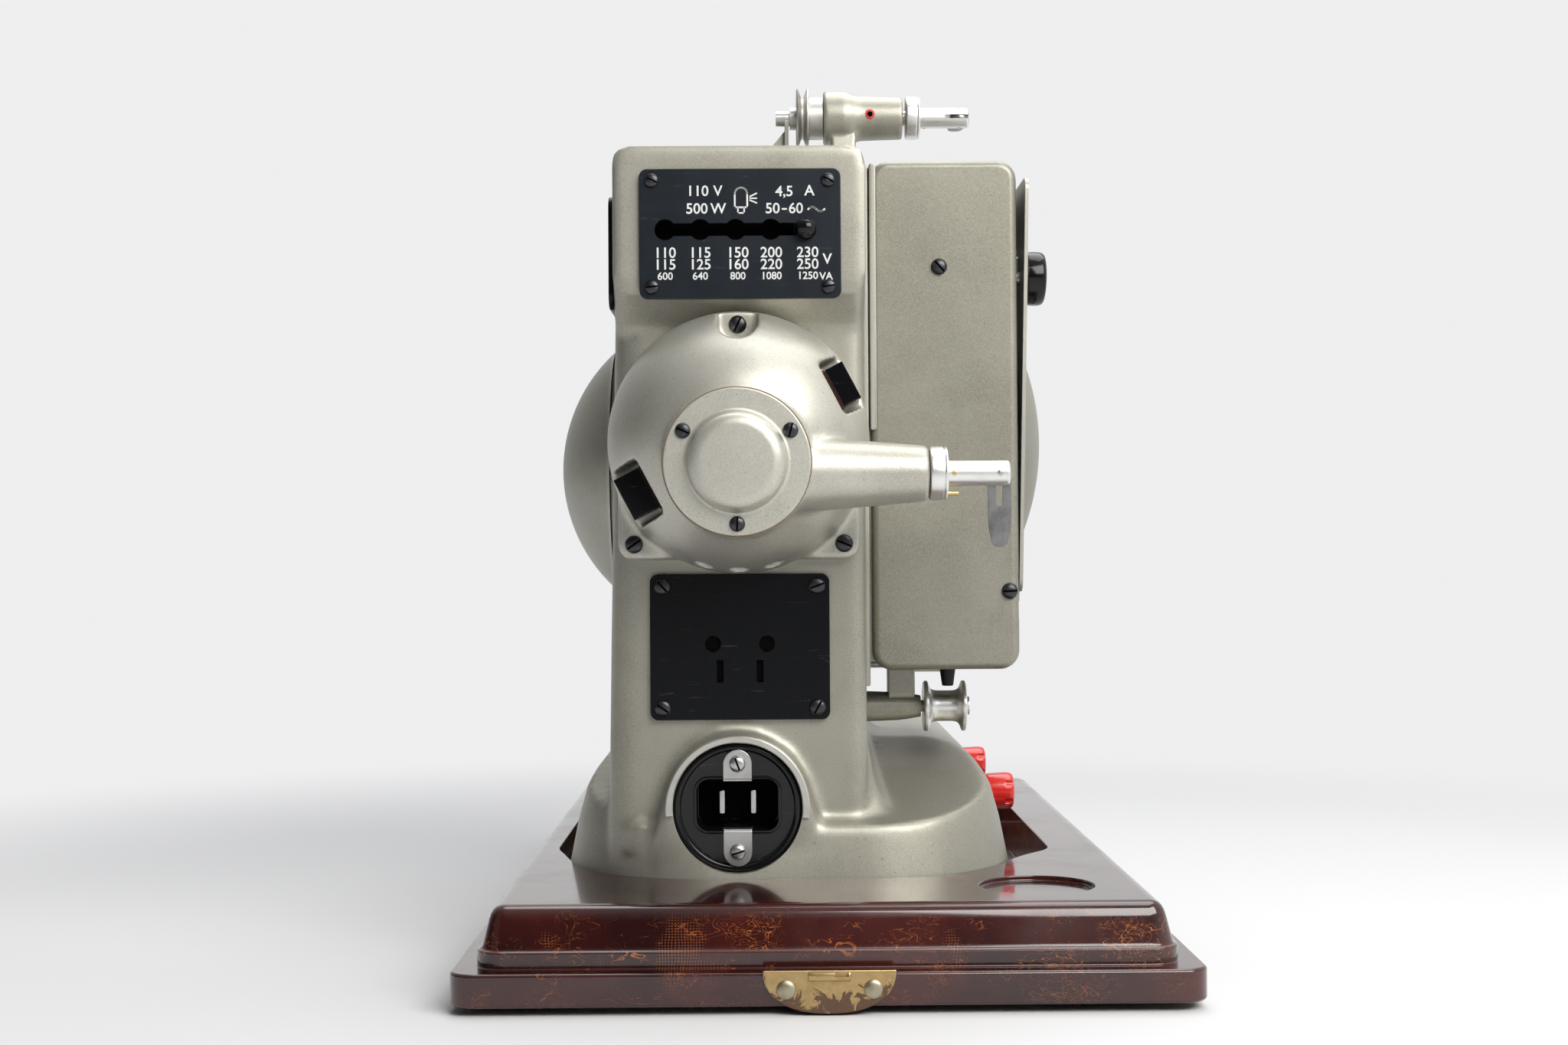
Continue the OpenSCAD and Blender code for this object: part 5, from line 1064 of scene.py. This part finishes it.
def make_door():
    x1 = LAMP_BOX[1]
    inner = x1 + 0.1
    y0, y1, z0, z1 = LAMP_BOX[2] + 2, LAMP_BOX[3] - 2, 116.0, 262.0
    mid_y, reach, rise, sheet = (y0 + y1) / 2, DOOR_DOME_R, DOOR_DOME, 1.2
    ball = (reach ** 2 + rise ** 2) / (2 * rise)
    arc = [(reach * t / 20, sqrt(ball ** 2 - (reach * t / 20) ** 2) - ball + rise)
           for t in range(20, -1, -1)]
    flat = slab((inner, y0, z0 + 5.5), (inner + sheet, y1, z1), "x", 4.5, 0.0, 8)
    dome = turned("x", (inner + sheet - 0.05, mid_y, AXIS_Z), [(0, 0)] + [(r, h) for r, h in arc], 96)
    door = piece("door_sheet", flat, SHEET, "door")
    joined_on(door, dome)
    pocket = turned("x", (inner - 0.4, mid_y, AXIS_Z),
                    [(0, 0)] + [(r * 0.965, h * 0.965 + 0.3) for r, h in arc], 96)
    cut(door, pocket)
    knuckles = []
    for y in (y0 + 4, y1 - 7):
        knuckles += [rod("y", DOOR_HINGE, y, y + 3, 3.4),
                     block((64, y, 118.3), (inner + 0.5, y + 3, 125.1))]
    for shape in knuckles:
        joined_on(door, shape)
    cut(door, rod("y", DOOR_HINGE, y0 - 1, y1 + 1, 1.65, steps=24))
    soften(door, 0.35, 3, 40)
    door.data.transform(turn_at(DOOR_HINGE, DOOR_AJAR, "y"))
    shade(door.data, 40)
    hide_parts("lamphouse_door")
    face = inner + sheet
    knob = turned("x", (face + 0.2, *DOOR_KNOB), [
        (0, 0), (8.6, 0), (8.9, 0.3), (9.1, 1.2), (9.25, 3.0), (9.2, 5.0), (8.9, 6.2), (8.2, 6.9),
        (7.2, 7.2), (5.6, 7.05), (0, 6.6)], 64)
    knob_piece = piece("door_button", ajar(knob), GLOSS, "door_button")
    stud = joined(rod("x", (0, *DOOR_KNOB), face - 3, face + 1, 2.4, steps=32),
                  slab((face - 3, DOOR_KNOB[0] - 1.6, DOOR_KNOB[1]),
                       (face - 1.5, DOOR_KNOB[0] + 1.6, DOOR_KNOB[1] + 8), "x", 1.4, 0.3, 4))
    piece("door_catch_finger", ajar(stud), STEEL, "door_button")
    tip = new_mesh()
    bmesh.ops.create_uvsphere(tip, u_segments=24, v_segments=16, radius=1.5 * MM,
                              matrix=Matrix.Translation(at(face - 2.9, DOOR_KNOB[0], DOOR_KNOB[1] + 8)))
    piece("door_catch_ball", ajar(tip), BRIGHT, "door_button")
    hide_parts("door_knob")


# Left side: fan cover and side plate
def make_left_side():
    ball_x, ball_r = -33.0, 57.0
    seat = COVER_SEAT_X
    rim_r = sqrt(ball_r ** 2 - (ball_x - seat) ** 2)
    steps = 24
    half = asin(rim_r / ball_r)
    profile = [(rim_r - 3.2, seat), (rim_r - 0.6, seat), (rim_r - 0.1, seat - 0.25)]
    profile += [(ball_r * sin(half * (steps - i) / steps),
                 ball_x - ball_r * cos(half * (steps - i) / steps))
                for i in range(steps + 1)]
    inner_r = ball_r - 3.0
    half_in = asin(min(1.0, (rim_r - 3.2) / inner_r))
    profile += [(inner_r * sin(half_in * i / steps), ball_x - inner_r * cos(half_in * i / steps))
                for i in range(steps)]
    profile.append(profile[0])
    cover = piece("fan_cover", turned("x", (0, COVER_Y, COVER_Z), profile, 96), BODY, angle=50)
    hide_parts("left_cover")
    plate = slab((TOWER[0] - 1.6, BOX_Y0 + 6, BOX_Z0 - 2), (TOWER[0] - 0.05, BOX_Y0 + 56, TOP_Z - 15),
                 "x", 5, 0.4, 8)
    side = piece("side_plate_sheet", plate, PLATE)
    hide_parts("side_plate")


# Guide roller and reel spindles
def make_roller():
    x0, y, z = 36.9, -60.0, 81.0
    flange = [(0, 0), (8.2, 0), (8.7, 0.35), (8.8, 0.9), (8.7, 1.4), (7.9, 1.75), (6.9, 2.1), (6.1, 2.6),
              (5.65, 3.3), (5.4, 4.3), (5.35, 5.6), (5.35, 7.4)]
    profile = flange + [(r, 14.8 - length) for r, length in reversed(flange[1:-1])] + [(0, 14.8)]
    roller = piece("guide_roller_body", turned("x", (x0, y, z), profile, 72), BRIGHT, "roller")
    cut(roller, rod("x", (0, y, z), x0 - 1, x0 + 16, 2.05, steps=32))
    shade(roller.data, 35)
    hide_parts("guide_roller")
    stub = turned("x", (0, y, z),
                  [(0, 14.5), (5.6, 14.5), (5.3, 17), (4.9, 28), (4.5, 31.5), (3.9, 35.0), (3.7, 35.9),
                   (2.0, 35.9), (2.0, 52.3), (0, 52.3)], 56)
    nut = rod("x", (0, y, z), x0 + 15.0, x0 + 16.1, 3.2, edge=0.3, steps=40)
    strut = slab((24.5, y - 6, z + 3), (33.6, y + 6, 95.6), "x", 2, 0.5, 4)
    bracket = piece("roller_stub", joined(stub, strut), BODY)
    piece("roller_nut", nut, BRIGHT)
    foot = rod("z", (45, y - 6, 0), 88.4, 95.4, 2.0, 2.9, edge=0.4, steps=32)
    piece("lamphouse_stud", foot, BLACK)
    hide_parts("roller_bracket")


def make_spindle(name, node, x0, y, z, turn, body, shaft_from, rivet_x):
    """Collar, slit bar, drive pin, rivet and latch of one reel spindle."""
    around = turn_at((0, y, z), turn, "x")
    collar = turned("x", (x0, y, z),
                    [(0, 0.1), (7.7, 0.1), (8.2, 0.35), (8.4, 0.8), (8.4, 3.9), (8.25, 4.3), (7.9, 4.45),
                     (7.9, 4.6), (8.2, 4.75), (8.3, 5.1), (8.1, 5.55), (7.6, 5.7), (4.6, 5.75),
                     (0, 5.75)], 72)
    piece(name + "_collar", collar, BRIGHT, body, 30)
    start = x0 + 5.8
    profile = [(0, -1), (3.9, -1), (4.0, 0.2), (4.0, 18.5), (3.9, 18.9), (3.7, 19.2), (3.3, 19.45),
               (2.6, 19.6), (0, 19.6)]
    bar = piece(name + "_bar", turned("x", (start, y, z), profile, 64), BRIGHT, body)
    cut(bar, moved(block((start + 9.8, y - 0.8, z - 6), (start + 22, y + 0.8, z + 6)), around))
    shade(bar.data, 35)
    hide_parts(node)
    piece(name + "_shaft", rod("x", (0, y, z), shaft_from, x0 + 2, 3.0, steps=32), STEEL, body)
    pins = [rod("x", (0, y, z - 6.2), x0 + 5, x0 + 9.3, 0.75, edge=0.2, steps=20),
            rod("y", (start + 1.9, 0, z), y - 4.12, y + 4.12, 0.8, edge=0.2, steps=24)]
    piece(name + "_drive_pins", moved(joined(*pins), around), BRASS, body)
    rivet = rod("y", (rivet_x, 0, z), y - 4.1, y + 4.1, 1.05, edge=0.25, steps=24)
    piece(name + "_rivet", moved(rivet, around), STEEL, body)
    window = slab((rivet_x - 1.05, y - 2, z - 10.3), (rivet_x + 1.05, y + 2, z - 3.2), "y", 1.0, 0, 6)
    blade = piece(name + "_latch", moved(latch_blade(rivet_x, y, z), around), DULL_STEEL, body + "_catch")
    cut(blade, moved(window, around), moved(rod("y", (rivet_x, 0, z), y - 2, y + 2, 1.1, steps=24), around))
    soften(blade, 0.18, 2, 40)
    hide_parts(body + "_latch")


def latch_blade(x, y, z):
    """Flat tongue that hangs from the rivet and tapers to a round tip."""
    t = 0.65
    return hull_of(block((x - 3.6, y - t, z - 13), (x + 3.6, y + t, z)),
                   block((x - 3.4, y - t, z - 17), (x + 3.4, y + t, z)),
                   rod("y", (x, 0, z), y - t, y + t, 3.6, steps=48),
                   rod("y", (x, 0, z - 20.6), y - t, y + t, 2.6, steps=48))


def make_pulley():
    pulley = turned("x", (0, FEED_Y, FEED_Z), [
        (3.0, -7.5), (4.4, -7.5), (4.4, -4.9), (11.0, -4.9), (11.5, -4.75), (11.8, -4.4), (11.2, -4.0),
        (8.1, -2.9), (8.1, -2.1), (11.2, -0.95), (11.8, -0.6), (11.6, -0.15), (11.1, 0), (8.7, 0.1),
        (8.3, 0.3), (8.3, 5.5), (3.0, 5.5), (3.0, -7.5)], 72)
    made = piece("rewind_pulley", pulley, CAST, "feed")
    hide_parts("feed_pulley")


# Red knobs
def make_red_knobs():
    for name, node, body, y in (("motor_switch_knob", "motor_knob", "motor_control", RED_YS[0]),
                                ("lamp_switch_knob", "lamp_knob", "lamp_control", RED_YS[1])):
        x0 = RED_X0 + 0.3
        form = turned("x", (x0, y, RED_Z), [
            (0, 0), (5.9, 0), (6.2, 0.3), (6.4, 1.4), (6.7, 6.8), (6.68, 8.6), (6.5, 9.5), (6.0, 10.2),
            (5.1, 10.55), (0, 10.6)], 80)
        knob = piece(name, form, RED, body)
        scallops = []
        for i in range(6):
            groove = rod("x", (0, y, RED_Z + 7.4), x0 + 7.2, x0 + 12, 1.5, steps=28)
            scallops.append(moved(groove, turn_at((0, y, RED_Z), 60 * i, "x")))
        cut(knob, *scallops)
        soften(knob, 0.25, 2, 45)
        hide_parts(node)
        piece(name + "_shaft", rod("x", (0, y, RED_Z), 34, x0 + 0.5, 3.0, steps=32), STEEL, body)


make_catch_plates()
make_lamphouse()
make_door()
make_left_side()
make_roller()
make_spindle("takeup_reel_spindle", "takeup_spindle", ARM_TIP, SPINDLE_Y, SPINDLE_Z, 0, "takeup",
             MOTOR_X - 6, 55.0)
make_spindle("feed_reel_spindle", "feed_spindle", 38.2, FEED_Y, FEED_Z, 90, "feed", -13, 59.9)
make_pulley()
make_red_knobs()


# Paint of the construction nodes that stay in sight
PAINT_OF = {
    "base_pads": RUBBER, "base_screws": STEEL, "bottom_plate": BLACK, "lamp_holder": STEEL,
    "lamp_cap": BRASS, "lamp_bulb": GLASS, "reflector": SILVERED, "condenser": GLASS,
    "gate_housing": BODY, "arm_bracket": BODY, "motor_stator": IRON, "motor_shaft": STEEL,
    "cooling_fan": CAST, "shutter": BLACK, "upper_sprocket": BRIGHT, "lower_sprocket": BRIGHT,
    "lens_holder": BODY, "lens_barrel": BLACK, "lens_glass": GLASS, "upper_shoe": CAST,
    "lower_shoe": CAST, "shoe_pins": STEEL, "bearing_bridge": CAST, "control_switches": PLATE}


def paint_nodes():
    for name, paint in PAINT_OF.items():
        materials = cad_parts[name].data.materials
        materials.clear()
        materials.append(paint)


paint_nodes()


# Floor, light and camera
RAYS = ("Camera", "Glossy", "Transmission")
EVEN_FACES = range(9, 9000)  # pieces of so many faces have flats to keep even; the castings have none
AROUND, NEAR_SIDE, BRIGHT_SIDE = 0.42, 0.03, (0.62, 0.58, 0.35)
PALE = (0.86, 0.86, 0.87)
FOCAL, PICTURE, SENSOR = 2700.0, (2048.0, 1365.0), 36.0
EYE = (-17.2, -785.4, 136.1)
VANISHING = (1003.0, 718.0)
ROLL = 0.0065


def floor_paint():
    """Pale paper that keeps the shadow near the object and fades to white further off."""
    p = new_paint("pale_floor")
    colour = p.mix(p.noise(4, 2, 0.5), (0.73, 0.73, 0.735), (0.755, 0.755, 0.76))
    paper = p.node("ShaderNodeBsdfDiffuse", None, {"Color": colour})
    white = p.node("ShaderNodeEmission", None, {"Color": PALE, "Strength": 1.0})
    distance = p.node("ShaderNodeVectorMath", {"operation": "LENGTH"}, {0: p.place}, out="Value")
    camera, glossy, through = (p.node("ShaderNodeLightPath", out=f"Is {kind} Ray") for kind in RAYS)
    far = p.step(distance, 0.30, 0.62) * (camera + glossy * 0.8 + through)
    return p.show(p.node("ShaderNodeMixShader", None, {0: far, 1: paper, 2: white}), "Material")


def lay_floor():
    bm = new_mesh()
    bmesh.ops.create_grid(bm, x_segments=1, y_segments=1, size=8.0)
    mesh = bpy.data.meshes.new("floor")
    bm.to_mesh(mesh)
    bm.free()
    mesh.materials.append(floor_paint())
    made = bpy.data.objects.new("floor", mesh)
    scene.collection.objects.link(made)


def light_world():
    """White to the picture and to mirrors; its soft light is bright behind and dim in front."""
    scene.world = bpy.data.worlds.new("studio")
    w = Paint(scene.world)
    direction = w.node("ShaderNodeTexCoord", out="Generated")
    side = w.node("ShaderNodeVectorMath", {"operation": "DOT_PRODUCT"}, {0: direction, 1: BRIGHT_SIDE},
                  out="Value")
    ramp = w.node("ShaderNodeMapRange", None, {"Value": side, "From Min": -0.45, "From Max": 0.55,
                                               "To Min": NEAR_SIDE, "To Max": 1.0})
    soft = w.node("ShaderNodeBackground", None, {"Color": (0.93, 0.96, 1.0), "Strength": ramp * AROUND})
    mirror = w.node("ShaderNodeBackground", None, {"Strength": ramp})
    seen = w.node("ShaderNodeBackground", None, {"Color": PALE})
    camera, glossy, through = (w.node("ShaderNodeLightPath", out=f"Is {kind} Ray") for kind in RAYS)
    shiny = w.node("ShaderNodeMath", {"operation": "MAXIMUM"}, {0: glossy, 1: through})
    around = w.node("ShaderNodeMixShader", None, {0: shiny, 1: soft, 2: mirror})
    w.show(w.node("ShaderNodeMixShader", None, {0: camera, 1: around, 2: seen}), "World")


def soft_box(name, place, target, size, power, colour=(1.0, 1.0, 1.0)):
    """A rectangular studio light that looks at a point; sizes in metres."""
    data = bpy.data.lights.new(name, "AREA")
    data.shape, data.size, data.size_y = "RECTANGLE", *size
    data.energy, data.color = power, colour
    made = bpy.data.objects.new(name, data)
    scene.collection.objects.link(made)
    made.location = place
    made.rotation_euler = (Vector(target) - Vector(place)).to_track_quat("-Z", "Y").to_euler()


def aim_camera():
    """The photograph's view: lens, place and the point where lines along Y meet, all in its pixels."""
    data = bpy.data.cameras.new("camera")
    data.sensor_width, data.lens = SENSOR, SENSOR * FOCAL / PICTURE[0]
    data.clip_start, data.clip_end = 0.01, 30.0
    made = bpy.data.objects.new("camera", data)
    scene.collection.objects.link(made)
    level = Matrix(((1, 0, 0), (0, 0, -1), (0, 1, 0)))
    sight = level @ Vector((VANISHING[0] - PICTURE[0] / 2, PICTURE[1] / 2 - VANISHING[1], -FOCAL))
    turn = sight.rotation_difference(Vector((0, 1, 0))).to_matrix()
    pose = Matrix.Rotation(ROLL, 3, "Y") @ turn @ level
    made.matrix_world = Matrix.Translation(at(*EYE)) @ pose.to_4x4()
    scene.camera = made


for made in [obj for obj in scene.objects if obj.type == "MESH" and len(obj.data.polygons) in EVEN_FACES
             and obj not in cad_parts.values()]:
    even_normals(made)
lay_floor()
light_world()
soft_box("key", (0.50, -0.85, 0.80), (0.0, -0.1, 0.22), (0.9, 0.65), 14.5, (1.0, 0.985, 0.96))
soft_box("fill", (-1.5, -1.0, 0.9), (0, 0, 0.15), (1.2, 1.2), 0.6, (0.94, 0.97, 1.0))
soft_box("top", (0.15, 0.25, 1.2), (0, 0, 0.2), (1.0, 0.9), 9.0)
aim_camera()
scene.view_settings.view_transform = "Standard"
